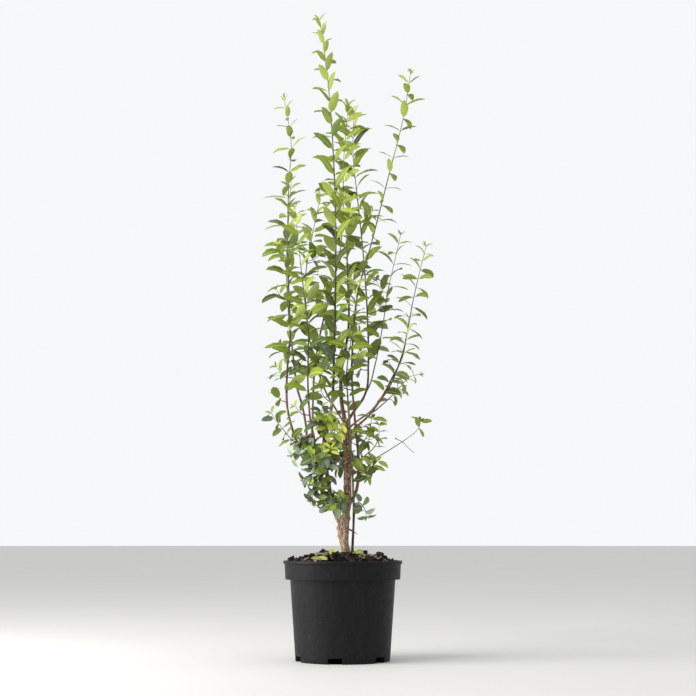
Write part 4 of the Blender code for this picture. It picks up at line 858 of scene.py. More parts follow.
def leaf_rows(stem, shape, bare, size, random):
    """The leaves of one stem, one row each: opposite pairs, each pair a quarter turn from the last.

    Leaves shorten and rise towards the tip, where two smaller pairs close the shoot.
    """
    rows = []
    taper = min(shape.taper, LONGEST_TAPER_SHARE * (stem.length - bare))
    young = 0.0 if shape.mix else min(YOUNG_LENGTH, YOUNG_SHARE * stem.length)
    back = pair_distances(stem, shape, bare)
    for k, to_tip in enumerate(back):
        fullness = min(1.0, to_tip / taper)
        grown = LEAF_TIP_SHARE + (1.0 - LEAF_TIP_SHARE) * math.sin(fullness * math.pi / 2)
        distance = stem.length - to_tip
        mix = shape.mix or mix_at(stem.at(distance)[0][2])
        for side in (0.0, math.pi):
            azimuth = shape.turn + k * math.pi / 2 + side + random.normal(0.0, TURN_SPREAD)
            rise = shape.rise + random.normal(0.0, RISE_SPREAD) + TIP_RISE * (1.0 - fullness)
            length = shape.length * size * grown * random.uniform(*LENGTH_SHARES)
            tint = 0 if to_tip < young else deal_tint(mix, random)
            rows.append(leaf_row(stem, distance, azimuth, rise, length, shape, tint, random))
    for number, (length, rise, width) in enumerate(GROWN_TIP_LEAVES if shape.mix else TIP_LEAVES):
        own = shape._replace(width=width, lean=0.0, back=0.0)
        for side in (0.0, math.pi):
            azimuth = shape.turn - (number + 1) * math.pi / 2 + side
            tint = deal_tint(shape.mix, random) if shape.mix else 0
            rows.append(leaf_row(stem, stem.length, azimuth, math.radians(rise),
                                 shape.length * size * length, own, tint, random))
    return rows


# The mix of tints above each height, and LOW_MIX below them all
MIXES_BY_HEIGHT = ((1.02, TOP_MIX), (0.74, MIDDLE_MIX), (0.56, INNER_MIX))


def mix_at(height):
    """The shares of leaf tints at a height: blue and deep below, fresh and young towards the top."""
    return next((mix for above, mix in MIXES_BY_HEIGHT if height > above), LOW_MIX)


def deal_tint(mix, random):
    return int(np.searchsorted(np.cumsum(mix), random.uniform() * sum(mix)))


def leaf_outline(u):
    """Half width at u from stalk to tip: a thin stalk, then t^a (1 - t)^b scaled to 1 at its widest."""
    t = np.clip((u - STALK_SHARE) / (1.0 - STALK_SHARE), 0.0, 1.0)
    widest = BASE_POWER / (BASE_POWER + TIP_POWER)
    peak = widest**BASE_POWER * (1.0 - widest) ** TIP_POWER
    return np.maximum(t**BASE_POWER * (1.0 - t) ** TIP_POWER / peak, STALK_HALF)


def leaf_points(rows):
    """The points of every leaf, by leaf, station and column, with the tip as the last station's only point.

    A leaf's midrib is an arc in the plane of out and up: at a share u of the length it points at the angle
    rise - droop u. Its blade lies square to the midrib, turned about it towards the light by facing. At
    v from edge to edge the upper side is lifted by fold (|v| - easing v^2) and by a wave along the edge,
    and the lower side's one column hangs below the midrib by the thickness.
    """
    data = np.array([row[:-1] for row in rows])
    root, out, up = data[:, None, 0:3], data[:, None, 3:6], data[:, None, 6:9]
    length, half, rise, droop, facing, roll, fold, wave = (data[:, k, None, None] for k in range(9, 17))
    u = np.concatenate(([0.0], STALK_SHARE + (1.0 - STALK_SHARE) * BLADE_STATIONS))[None, :, None]
    angle = rise - droop * u
    bent = out * (np.sin(rise) - np.sin(angle)) + up * (np.cos(angle) - np.cos(rise))
    midrib = root + bent * length / droop
    along = out * np.cos(angle) + up * np.sin(angle)
    normal = up * np.cos(angle) - out * np.sin(angle)
    lit = LIGHT - along * (along @ LIGHT)[..., None]
    normal = unit(normal + lit * facing)
    side = np.cross(along, normal)
    normal, side = normal * np.cos(roll) + side * np.sin(roll), side * np.cos(roll) - normal * np.sin(roll)
    width = (half * leaf_outline(u))[..., None]
    v = UPPER_COLUMNS[None, None, :, None]
    fold, wave, u = fold[..., None], wave[..., None], u[..., None]
    ripple = np.sin(2 * math.pi * (RIPPLES * u + RIPPLE_SHIFT * wave))
    lift = fold * (np.abs(v) - FOLD_EASING * v**2) + EDGE_WAVE * wave * v**2 * ripple
    upper = midrib[:, :, None] + side[:, :, None] * v * width + normal[:, :, None] * lift * width
    lower = midrib[:, :, None] - normal[:, :, None] * LEAF_THICKNESS
    rings = np.concatenate((upper, lower), axis=2)
    return np.concatenate((rings[:, :-1].reshape(len(rows), -1, 3), midrib[:, -1:]), axis=1)


def leaf_faces(count):
    """The faces of a number of leaves and their parts: 0 upper side, 1 midrib and stalk, 2 lower side."""
    columns = len(UPPER_COLUMNS) + 1
    stations = len(BLADE_STATIONS)
    parts_round = np.array((0, 0, 1, 0, 0, 2, 2))
    here, there = np.arange(columns), (np.arange(columns) + 1) % columns
    row = np.arange(stations - 1)[:, None] * columns
    quads = np.stack((row + here, row + there, row + columns + there, row + columns + here), axis=-1)
    parts = np.tile(parts_round, (stations - 1, 1))
    parts[0][parts_round == 0] = 1
    last = (stations - 1) * columns
    tips = np.stack((here + last, there + last, np.full(columns, last + columns)), axis=-1)
    per_leaf = last + columns + 1
    first = np.arange(count)[:, None, None] * per_leaf
    foot = np.arange(columns)[::-1]
    return ((quads.reshape(1, -1, 4) + first, parts.ravel()), (tips[None] + first, parts_round),
            (foot[None, None] + first, np.array((2,))))


def add_leaves(piece, rows, shades):
    """Add leaves to a piece, in which each shade has three materials, one for each part of a leaf."""
    points = leaf_points(rows)
    groups = []
    for faces, parts in leaf_faces(len(rows)):
        tints = (parts[None, :] + np.asarray(shades)[:, None] * 3).ravel()
        groups.append((faces.reshape(-1, faces.shape[-1]), tints))
    piece.add(points.reshape(-1, 3), *groups)


def ring_faces(rings, sides):
    """The four-cornered faces between rings of points, each ring closing on itself."""
    row = np.arange(rings - 1)[:, None] * sides
    here = np.arange(sides)[None, :]
    there = (here + 1) % sides
    corners = np.stack((row + here, row + there, row + sides + there, row + sides + here), axis=-1)
    return corners.reshape(-1, 4)


def end_faces(rings, sides):
    """Triangles from the first and last rings to two middle points, which follow the rings' own points."""
    here = np.arange(sides)
    there = (here + 1) % sides
    last = (rings - 1) * sides
    foot, tip = (np.full(sides, rings * sides + number) for number in (0, 1))
    return np.concatenate((np.stack((there, here, foot), axis=-1),
                           np.stack((here + last, there + last, tip), axis=-1)))


def tube_surface(route, radii, sides, relief=0.0):
    """A closed tube: the point at turn a of a ring is its centre plus radius (1 + relief) (cos a, sin a).

    The first direction of each ring is square to the tube there and nearest to one direction that is
    square to the line from end to end, so that rings don't twist. Each end closes on one middle point.
    """
    tangents = unit(np.gradient(route, axis=0))
    chord = unit(route[-1] - route[0])
    helper = np.eye(3)[int(np.argmin(np.abs(chord)))]
    reference = unit(helper - chord * (chord @ helper))
    first = unit(reference - tangents * (tangents @ reference)[:, None])
    second = np.cross(tangents, first)
    turn = 2 * math.pi * np.arange(sides) / sides
    ring = first[:, None] * np.cos(turn)[None, :, None] + second[:, None] * np.sin(turn)[None, :, None]
    points = route[:, None] + ring * (radii[:, None] * (1.0 + relief))[..., None]
    points = np.concatenate((points.reshape(-1, 3), route[:1], route[-1:]))
    return points, ring_faces(len(route), sides), end_faces(len(route), sides)


def waves(along, turn, seed, count, length):
    """Seeded sum of waves over distance along and turn round a limb, each with a whole number of lobes."""
    random = np.random.default_rng(seed)
    total = np.zeros(np.broadcast(along, turn).shape)
    for k in range(count):
        lobes = random.integers(*WAVE_LOBES)
        own_length = length * random.uniform(*WAVE_LENGTH_SHARES)
        phase = random.uniform(0.0, 2 * math.pi)
        total += np.sin(lobes * turn + 2 * math.pi * along / own_length + phase)
    return total / math.sqrt(count)


def bark_relief(stem_along, radii, sides, seed, depth):
    """Relief of bark as a share of the radius: narrow furrows, broad swellings and fine roughness.

    A furrow runs where a wave sum w crosses zero, by exp(-(w / narrowness)^2). The wave changes fast round
    the limb and slowly along it.
    """
    turn = 2 * math.pi * np.arange(sides)[None, :] / sides
    along = stem_along[:, None]
    furrow = np.exp(-(waves(along, turn, seed, *FURROW_WAVES) / FURROW_NARROWNESS) ** 2)
    swell = waves(along, turn, seed + 1, *SWELLING_WAVES)
    fine = waves(along, turn * 2, seed + 2, *ROUGHNESS_WAVES)
    metres = -depth * furrow + depth * SWELLING_SHARE * swell + depth * ROUGHNESS_SHARE * fine
    return metres / radii[:, None]


class Piece:
    """Surfaces gathered for one mesh, with the material number of every face."""

    def __init__(self, name, materials):
        self.name = name
        self.materials = materials
        self.points, self.faces, self.tints = [], [], []
        self.count = 0

    def add(self, points, *groups):
        """Add points, and groups of faces given as (corner numbers, material number or numbers)."""
        for corners, tint in groups:
            self.faces += (corners + self.count).tolist()
            self.tints.append(np.broadcast_to(np.asarray(tint), len(corners)))
        self.points.append(points)
        self.count += len(points)

    def made(self, replaced=(), sharp=50.0):
        """Turn the gathered surfaces into a mesh object that rides on the root body."""
        mesh = bpy.data.meshes.new(self.name)
        mesh.from_pydata(np.concatenate(self.points).tolist(), [], self.faces)
        for material in self.materials:
            mesh.materials.append(material)
        mesh.polygons.foreach_set("material_index", np.concatenate(self.tints).astype(np.int32))
        mesh.shade_smooth()
        mesh.set_sharp_from_angle(angle=math.radians(sharp))
        piece = bpy.data.objects.new(self.name, mesh)
        bpy.context.scene.collection.objects.link(piece)
        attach(piece, "root")
        if replaced:
            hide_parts(*replaced)


# Knobs and one seam on the trunk: height, turn round the trunk from its right side by way of the rear in
# radians, how far they stand out, and their length
TRUNK_KNOBS = (
    (0.288, 2.9, 0.0030, 0.005),
    (0.306, 3.3, 0.0040, 0.005),
    (0.331, 0.4, 0.0030, 0.005),
    (0.352, 2.4, 0.0026, 0.005),
    (0.372, 5.2, 0.0024, 0.005),
    (0.402, 3.6, 0.0024, 0.005),
    (0.431, 1.2, 0.0022, 0.005),
    (0.468, 4.4, 0.0022, 0.005),
    (0.512, 2.8, 0.0020, 0.005),
    (0.302, 4.25, -0.0060, 0.022),
)

# Where shoots have grown together with the trunk and make it oval: from and to which height, over what
# height this starts and ends, the turn of the side, and how much wider it is there
GROWN_TOGETHER = (
    (0.345, 0.020, 0.545, 0.040, 0.0, 0.0032),
    (0.345, 0.020, 0.545, 0.040, math.pi, 0.0006),
    (0.262, 0.030, 0.340, 0.015, math.radians(185), 0.0058),
)


def foot_relief(height, turn):
    """Lobes of the foot as a share of the radius, from a product of two sines, that fade upwards as exp."""
    lobes = 0.5 + 0.5 * np.sin(5 * turn + 0.7) * np.sin(2 * turn + 2.1)
    return FOOT_FLARE * lobes * np.exp(-(height - FOOT_HEIGHT) / FOOT_FADE)


def knob_relief(height, turn, radii):
    """Knobs in metres, each exp(-d^2) of the distance d from its middle in its lengths and widths."""
    metres = 0.0
    for at, azimuth, size, length in TRUNK_KNOBS:
        round_trunk = np.arctan2(np.sin(turn - azimuth), np.cos(turn - azimuth)) * radii
        away = np.hypot((height - at) / length, round_trunk / KNOB_WIDTH)
        metres = metres + size * np.exp(-away**2)
    return metres


def widening(height, turn):
    """How much wider the oval parts of the trunk are, in metres, by the cosine of the turn off their side."""
    metres = 0.0
    for low, starting, high, ending, side, wider in GROWN_TOGETHER:
        share = np.clip((height - low) / starting, 0.0, 1.0) * np.clip((high - height) / ending, 0.0, 1.0)
        metres = metres + share * wider * np.maximum(0.0, np.cos(turn - side))
    return metres


def make_trunk(stems, trunk_bark):
    """The trunk, with a flared and lobed foot, knobs where old shoots were cut, and furrowed bark."""
    piece = Piece("trunk_bark", [trunk_bark])
    stem = stems["trunk"]
    route, radii = stem.part(0.0, stem.length, TRUNK_STEP)
    turn = 2 * math.pi * np.arange(TRUNK_SIDES)[None, :] / TRUNK_SIDES
    height, across = route[:, 2][:, None], radii[:, None]
    relief = bark_relief(distance_along(route), radii, TRUNK_SIDES, TRUNK_SEED, TRUNK_RELIEF)
    relief = relief + foot_relief(height, turn)
    relief = relief + (knob_relief(height, turn, across) + widening(height, turn)) / across
    relief[-SMOOTH_END_RINGS:] *= SMOOTH_END_SHARE
    points, quads, caps = tube_surface(route, radii, TRUNK_SIDES, relief)
    piece.add(points, (quads, 0), (caps, 0))
    piece.made(["trunk"])


# Limbs whose bark isn't that of the boughs, by the number of their material, and how thick it is on them
OWN_BARKS = {"thin_stem": 2, "left_stem": 3}
BARK_THICKNESS = {"thin_stem": 0.0009, "left_stem": 0.0006}


def carrier_radius(limb, route, stems):
    """The radius of a limb's carrier at the fork, or nothing for a limb that stands in the compost."""
    if limb.carrier is None:
        return 0.0
    carrier = stems[limb.carrier]
    return carrier.at(place_on(carrier.route, route[0]))[2]


def collar(along, start, radii):
    """Radii with a swelling where a limb leaves its carrier, which fades along it as exp."""
    return radii * (1.0 + COLLAR_SWELLING * np.exp(-np.maximum(along - start, 0.0) / COLLAR_LENGTH))


def make_boughs(stems, splits, trunk_bark):
    """All limbs but the trunk, each with fine furrows in its bark and, where it forks off, a collar."""
    piece = Piece("bough_bark", [brown_privet_bark(), cut_wood(), thin_stem_bark(), trunk_bark])
    for number, limb in enumerate(LIMBS[1:]):
        end = splits[limb.name]
        route, radii = stems[limb.name].part(0.0, end, BOUGH_STEP)
        along = distance_along(route)
        radii = collar(along, carrier_radius(limb, route, stems), radii + BARK_THICKNESS.get(limb.name, 0.0))
        depth = THIN_BOUGH_RELIEF + ADDED_RELIEF * min(1.0, radii.mean() / THICK_BOUGH_RADIUS)
        fade = np.clip((end - along) / RELIEF_FADE, 0.0, 1.0)[:, None]
        seed = FIRST_BOUGH_SEED + SEEDS_PER_LIMB * number
        relief = bark_relief(along, radii, BOUGH_SIDES, seed, depth) * fade
        points, quads, caps = tube_surface(route, radii, BOUGH_SIDES, relief)
        piece.add(points, (quads, OWN_BARKS.get(limb.name, 0)), (caps, 1))
    piece.made([limb.name for limb in LIMBS[1:]])


def shoot_tube(piece, stem, start, sides, nodes, green_from):
    """Add a leafy stem, brown below and green at the tip, with a slight swelling at each pair of leaves."""
    route, radii = stem.part(start, stem.length, SHOOT_STEP)
    along = distance_along(route) + start
    swelling = np.exp(-((along[:, None] - nodes[None, :]) / NODE_LENGTH) ** 2).sum(axis=1)
    points, quads, caps = tube_surface(route, radii * (1.0 + NODE_SWELLING * swelling), sides)
    share = np.repeat((along[:-1] - start) / (stem.length - start), sides)
    tint = np.where(share > green_from, 2, np.where(share > green_from * RIPENED_SHARE, 1, 0))
    piece.add(points, (quads, tint), (caps[:sides], tint[0]), (caps[sides:], 2))


def add_twig(piece, rows, twig, shape, size, random):
    """Add a leafy twig: its thin stem to the piece, and its leaves to the rows."""
    bare = max(shape.bare, twig.length * TWIG_BARE)
    nodes = twig.length - pair_distances(twig, shape, bare)
    shoot_tube(piece, twig, 0.0, TWIG_SIDES, nodes, TWIG_GREEN_FROM)
    rows += leaf_rows(twig, shape, bare, size, random)


# Dry stalks, by radius and places: across the bare twig and the knob on its end, under the dead leaf, and
# a stub by the thin stem
DRY_STALKS = (
    (0.0009, ((0.1265, -0.015, 0.517), (0.141, -0.0175, 0.5095), (0.156, -0.020, 0.494),
              (0.169, -0.020, 0.483))),
    (0.0021, ((0.1245, -0.015, 0.5185), (0.1268, -0.015, 0.5170), (0.1292, -0.0153, 0.5160))),
    (0.0009, ((0.1215, -0.034, 0.664), (0.1185, -0.050, 0.678), (0.109, -0.064, 0.694))),
    (0.0026, ((0.0155, -0.016, 0.3035), (0.0250, -0.0175, 0.2985), (0.0345, -0.019, 0.2920))),
)

# The dead leaf that still hangs: place, way out, length, half width, rise and droop in degrees
DEAD_LEAF = ((0.109, -0.064, 0.694), (-0.90, -0.40, 0.0), 0.017, 0.0065, 20, 80)
DEAD_LEAF_FACING = 1.5
DEAD_LEAF_FOLD = 0.5
DEAD_LEAF_WAVE = 0.8


def dead_leaf_row():
    """The curled dead leaf as one row, with its way up upright, no roll, and the last tint of all."""
    place, out, length, half, rise, droop = DEAD_LEAF
    return (*place, *out, 0.0, 0.0, 1.0, length, half, math.radians(rise), math.radians(droop),
            DEAD_LEAF_FACING, 0.0, DEAD_LEAF_FOLD, DEAD_LEAF_WAVE, len(LEAF_TINTS) - 1)


def grow_shoot(green, rows, shoot, stems, splits):
    """Add a leafy shoot and its side twigs: their stems to the green piece, and their leaves to the rows."""
    on_tip = shoot in TIP_SHOOTS
    stem = stems[shoot.carrier if on_tip else shoot.name]
    start = splits[shoot.carrier] if on_tip else 0.0
    shape = shoot.habit._replace(bare=start + shoot.habit.bare)
    random = np.random.default_rng(shape.seed)
    nodes = stem.length - pair_distances(stem, shape, shape.bare)
    shoot_tube(green, stem, start, SHOOT_SIDES, nodes, SHOOT_GREEN_FROM)
    rows += leaf_rows(stem, shape, shape.bare, 1.0, random)
    closer = shape._replace(spacing=max(LEAST_SPACING, shape.spacing * SIDE_TWIG_SPACING), bare=0.0)
    for twig in side_twigs(stem, shape, random):
        add_twig(green, rows, twig, closer, SIDE_TWIG_LEAF_SHARE, random)


def grow_finer_twigs(green, rows, stems, splits):
    """Add the finer leafy twigs on the sides of limbs, each from its seed."""
    for limb, shares, way, stray, reach, shape, seed in FINER_TWIGS:
        random = np.random.default_rng(seed)
        for share in shares:
            along = splits.get(limb, stems[limb].length) * share
            azimuth = math.radians(way + stray * random.uniform(-1.0, 1.0))
            grown = reach * random.uniform(*FINER_REACH_SHARES)
            twig = side_twig(stems[limb], along, azimuth, grown)
            add_twig(green, rows, twig, shape._replace(turn=random.uniform(0.0, math.pi)), 1.0, random)


def make_foliage(stems, splits):
    """Every leafy stem and twig, and their leaves, by the same rule as the solids' and carried finer."""
    shoots = TIP_SHOOTS + SIDE_SHOOTS
    masses = [shoot.name for shoot in shoots]
    green = Piece("shoots_and_twigs", [young_bark("ripened_shoot_skin", "#51463c", "#2c241f"),
                                       young_bark("shoot_skin", "#6a6350", "#464036"),
                                       young_bark("soft_shoot_skin", "#828852", "#686c40", 0.42)])
    rows = []
    for shoot in shoots:
        grow_shoot(green, rows, shoot, stems, splits)
    grow_finer_twigs(green, rows, stems, splits)
    for radius, places in DRY_STALKS:
        stalk = smooth_route(places)
        points, quads, caps = tube_surface(stalk, np.linspace(radius, FINEST_TWIG, len(stalk)), TWIG_SIDES)
        green.add(points, (quads, 0), (caps, 0))
    rows.append(dead_leaf_row())
    green.made(masses)
    make_leaves(rows, masses)


# Leaf tints: piece, slot, two shades of the upper side, the midrib and stalk, and the lower side
LEAF_TINTS = (
    ("young_leaves", "young_leaves", ("#97a530", "#a9b548"), "#c4cf84", "#a7b35c"),
    ("fresh_leaves", "young_leaves", ("#7e9120", "#91a333"), "#b6c272", "#94a44a"),
    # The deep tint is darker than the leaves' own deep green: painted shade for the leaves inside the
    # clusters
    ("full_leaves", "young_leaves", ("#708622", "#879d30"), "#a8b76a", "#88984c"),
    ("deep_leaves", "mature_leaves", ("#43511e", "#5f6f32"), "#7f9650", "#6c7e40"),
    ("blue_leaves", "mature_leaves", ("#596750", "#69785e"), "#86997e", "#8a9b7e"),
    ("yellow_leaves", "mature_leaves", ("#cacb42", "#dbd962"), "#e8e6a0", "#cccb68"),
    ("pale_leaves", "mature_leaves", ("#97a886", "#a9b897"), "#bcc8ab", "#a9b598"),
    ("dry_leaves", "mature_leaves", ("#4c3d30", "#5d4b38"), "#6a5842", "#453729"),
)


def waxy_leaf_skin(name, colour, roughness):
    """Leaf skin in one plain colour, under a thin coat of wax that gives a soft gloss."""
    material, _, shader = new_material(name, roughness, 0.26)
    shader.inputs["Base Color"].default_value = tone(colour)
    return material


def leaf_materials(name, shades, rib, below):
    """The skins of a tint: for each shade the waxy upper side, the midrib and the duller lower side."""
    return [material for number, shade in enumerate(shades) for material in (
        waxy_leaf_skin(f"{name}_waxy_upper_{number + 1}", shade, 0.40),
        waxy_leaf_skin(f"{name}_midrib_{number + 1}", rib, 0.50),
        waxy_leaf_skin(f"{name}_dull_lower_{number + 1}", below, 0.62))]


def make_leaves(rows, masses):
    """The leaves dealt out by tint, one joined piece for each.

    Leaves that reach beyond the solids' box by more than the margin, or too near the compost, are left out.
    """
    low, high = (np.array(corner) for corner in CAD_BOX)
    low[2] = LEAST_HEIGHT + BOX_MARGIN
    points = leaf_points(rows)
    inside = ((points > low - BOX_MARGIN) & (points < high + BOX_MARGIN)).all(axis=(1, 2))
    for number, (name, slot, shades, rib, below) in enumerate(LEAF_TINTS):
        own = [row for row, held in zip(rows, inside) if held and row[-1] == number]
        piece = Piece(name, leaf_materials(name, shades, rib, below))
        add_leaves(piece, own, np.random.default_rng(number).integers(0, len(shades), len(own)))
        piece.made(masses, sharp=70.0)


# Lumps of the compost's top: how far apart they are and how high, the waves that make each kind, and how
# their lengths vary
LUMPS = ((0.050, 0.0018), (0.022, 0.0014), (0.011, 0.0010), (0.006, 0.0007))
WAVES_PER_LUMP = 4
LUMP_LENGTH_SHARES = (0.7, 1.4)


def mound_height(radius, turn):
    """Height of the compost: a cosine mound with seeded waves on it, the finer the lower."""
    random = np.random.default_rng(7)
    bend = np.cos(np.clip(radius / SOIL_RADIUS, 0, 1) * math.pi / 2)
    height = SOIL_EDGE_HEIGHT + (SOIL_HEIGHT - SOIL_EDGE_HEIGHT) * bend
    x, y = radius * np.cos(turn), radius * np.sin(turn)
    for apart, lump in LUMPS:
        for _ in range(WAVES_PER_LUMP):
            direction, phase = random.uniform(0.0, 2 * math.pi, 2)
            across = x * math.cos(direction) + y * math.sin(direction)
            wave = across / (apart * random.uniform(*LUMP_LENGTH_SHARES))
            height = height + lump * 0.5 * np.sin(2 * math.pi * wave + phase)
    return height


def make_compost():
    """The lumpy top of the compost on a grid of rings, with a skirt that goes down inside the pot."""
    soil = Piece("compost_surface", [composted("dark_compost", "#241b15", "#100c0a", 0.004)])
    turn = 2 * math.pi * np.arange(SOIL_SIDES) / SOIL_SIDES
    radii = np.linspace(SOIL_MIDDLE_RADIUS, SOIL_RADIUS, SOIL_RINGS)
    radius, angle = np.meshgrid(radii, turn, indexing="ij")
    top = np.stack((radius * np.cos(angle), radius * np.sin(angle), mound_height(radius, angle)), axis=-1)
    skirt = top[-1:] * (1.0, 1.0, 0.0) + (0.0, 0.0, SOIL_FOOT)
    middles = [[0.0, 0.0, float(mound_height(0.0, 0.0))], [0.0, 0.0, SOIL_FOOT]]
    points = np.concatenate((top.reshape(-1, 3), skirt.reshape(-1, 3), middles))
    soil.add(points, (ring_faces(SOIL_RINGS + 1, SOIL_SIDES)[:, ::-1], 0),
             (end_faces(SOIL_RINGS + 1, SOIL_SIDES)[:, ::-1], 0))
    soil.made(["compost"])


def strewn(count, sizes, random):
    """Seeded places on the compost, sizes, and three directions for each chip or crumb."""
    radius = STREWN_RADIUS * random.uniform(LEAST_CROWDING, 1.0, count) ** CROWDING_POWER
    turn = random.uniform(0.0, 2 * math.pi, count)
    low, high = np.array(sizes).T
    size = low + (high - low) * random.uniform(0.0, 1.0, (count, 3)) ** CHIP_SIZE_POWER
    heading = random.uniform(0.0, 2 * math.pi, count)
    tilt = random.normal(0.0, CHIP_TILT, (count, 2))
    long_way = unit(np.stack((np.cos(heading), np.sin(heading), tilt[:, 0]), axis=-1))
    up = unit(np.stack((tilt[:, 0] * CHIP_LEAN_SHARE, tilt[:, 1], np.ones(count)), axis=-1))
    cross_way = unit(np.cross(up, long_way))
    up = np.cross(long_way, cross_way)
    size = size * np.clip((SOIL_RADIUS - radius) / RIM_CHIP_ZONE, LEAST_CHIP_SHARE, 1.0)[:, None]
    centre = np.stack((radius * np.cos(turn), radius * np.sin(turn),
                       mound_height(radius, turn) + size[:, 2] * CHIP_RISE_SHARE), axis=-1)
    return centre, size, (long_way, cross_way, up)


# Clods that stand up round the rim: place on the compost, sizes, and heading in radians
CLODS = (
    ((-0.120, -0.020), (0.018, 0.012, 0.022), 0.4),
    ((-0.108, -0.062), (0.014, 0.010, 0.012), 1.3),
    ((0.088, -0.030), (0.020, 0.012, 0.018), 2.2),
    ((0.112, -0.048), (0.016, 0.011, 0.013), 0.2),
    ((0.124, 0.012), (0.014, 0.010, 0.012), 1.7),
    ((0.062, -0.086), (0.018, 0.012, 0.015), 2.9),
    ((0.066, 0.094), (0.016, 0.012, 0.014), 0.8),
    ((-0.052, 0.106), (0.018, 0.012, 0.015), 2.5),
    ((-0.110, 0.044), (0.015, 0.012, 0.013), 1.1),
)


def make_chips():
    """Chips, crumbs and clods of bark: boxes with every corner pulled about, in four browns."""
    random = np.random.default_rng(8)
    piece = Piece("bark_chips", [composted("black_bark_chip", "#1a1411", "#0b0908"),
                                 composted("brown_bark_chip", "#352c25", "#191410"),
                                 composted("red_bark_chip", "#5c483b", "#2e231c"),
                                 composted("dry_bark_chip", "#ae9d88", "#695a49")])
    corners = np.array([(x, y, z) for x in (-1, 1) for y in (-1, 1) for z in (-1, 1)], dtype=float) / 2
    faces = np.array(((0, 1, 3, 2), (4, 6, 7, 5), (0, 4, 5, 1), (2, 3, 7, 6), (0, 2, 6, 4), (1, 5, 7, 3)))
    for count, sizes, tints in ((CHIP_COUNT, CHIP_SIZES, CHIP_SHARES),
                                (CRUMB_COUNT, CRUMB_SIZES, CRUMB_SHARES)):
        centre, size, ways = strewn(count, sizes, random)
        pull = random.uniform(*CHIP_CORNER_PULL, (count, 8, 3))
        pulled = corners[None] * (1.0 + pull) * size[:, None, :]
        points = centre[:, None] + sum(pulled[..., k, None] * way[:, None] for k, way in enumerate(ways))
        reach = np.hypot(points[..., 0], points[..., 1]).max(axis=1)
        points = points[reach < CHIP_LIMIT]
        kept = len(points)
        quads = (faces[None] + np.arange(kept)[:, None, None] * 8).reshape(-1, 4)
        tint = np.searchsorted(tints, random.uniform(0.0, 1.0, kept))
        piece.add(points.reshape(-1, 3), (quads, np.repeat(tint, 6)))
    for (x, y), size, turn in CLODS:
        height = mound_height(math.hypot(x, y), math.atan2(y, x)) + size[2] * CLOD_RISE_SHARE
        long_way = np.array((math.cos(turn), math.sin(turn), CLOD_LENGTH_RISE))
        ways = np.array((long_way, np.cross((0.0, 0.0, 1.0), long_way), CLOD_UPWARDS))
        pulled = corners * (1.0 + random.uniform(*CLOD_CORNER_PULL, (8, 3))) * size
        piece.add(np.array((x, y, height)) + pulled @ unit(ways), (faces, 1))
    piece.made(sharp=25.0)


# Fallen leaves on the compost: place, then heading, rise, droop and roll in degrees, length and half width
FALLEN_LEAVES = (
    ((-0.068, -0.104, 0.2350), 6, 12, 26, 26, 0.038, 0.0105),
    ((-0.046, -0.108, 0.2350), 196, 20, 30, -20, 0.028, 0.0080),
    ((-0.030, -0.060, 0.2450), 60, 38, 40, 9, 0.036, 0.0090),
    ((0.022, -0.050, 0.2430), 20, 40, 50, 30, 0.030, 0.0085),
    ((-0.012, -0.035, 0.2440), 150, 30, 40, -9, 0.030, 0.0080),
    ((0.046, -0.052, 0.2440), 130, 46, 40, -30, 0.026, 0.0075),
    ((0.052, 0.040, 0.2400), 250, 12, 30, -9, 0.036, 0.0090),
    ((-0.062, 0.060, 0.2380), 330, 10, 30, 9, 0.040, 0.0100),
    ((0.010, 0.092, 0.2360), 100, 12, 34, -9, 0.038, 0.0095),
)
FALLEN_LEAF_FOLD = 0.3
FALLEN_LEAF_WAVE = 0.7


def make_fallen_leaves():
    """A few yellowed leaves that lie on the compost."""
    rows = []
    for place, *angles, length, half in FALLEN_LEAVES:
        heading, rise, droop, roll = (math.radians(angle) for angle in angles)
        rows.append((*place, math.cos(heading), math.sin(heading), 0.0, 0.0, 0.0, 1.0, length, half,
                     rise, droop, 0.0, roll, FALLEN_LEAF_FOLD, FALLEN_LEAF_WAVE, 0))
    skins = leaf_materials("fallen_leaf", ("#b2b552", "#7f8f3c"), "#ccc98a", "#a8ab62")
    piece = Piece("fallen_leaves", skins)
    add_leaves(piece, rows, np.arange(len(rows)) % 2)
    piece.made(sharp=70.0)


def rounded(points, radius, steps=4):
    """A profile with its inner corners rounded: each becomes an arc of quadratic form within the radius."""
    path = [points[0]]
    for before, corner, after in zip(points, points[1:], points[2:]):
        before, corner, after = (np.array(p) for p in (before, corner, after))
        near = min(radius, np.linalg.norm(before - corner) / ROUNDING_DIVISOR,
                   np.linalg.norm(after - corner) / ROUNDING_DIVISOR)
        start = corner + unit(before - corner) * near
        end = corner + unit(after - corner) * near
        for t in np.linspace(0.0, 1.0, steps):
            path.append(tuple((1 - t) ** 2 * start + 2 * t * (1 - t) * corner + t**2 * end))
    return np.array([*path, points[-1]])


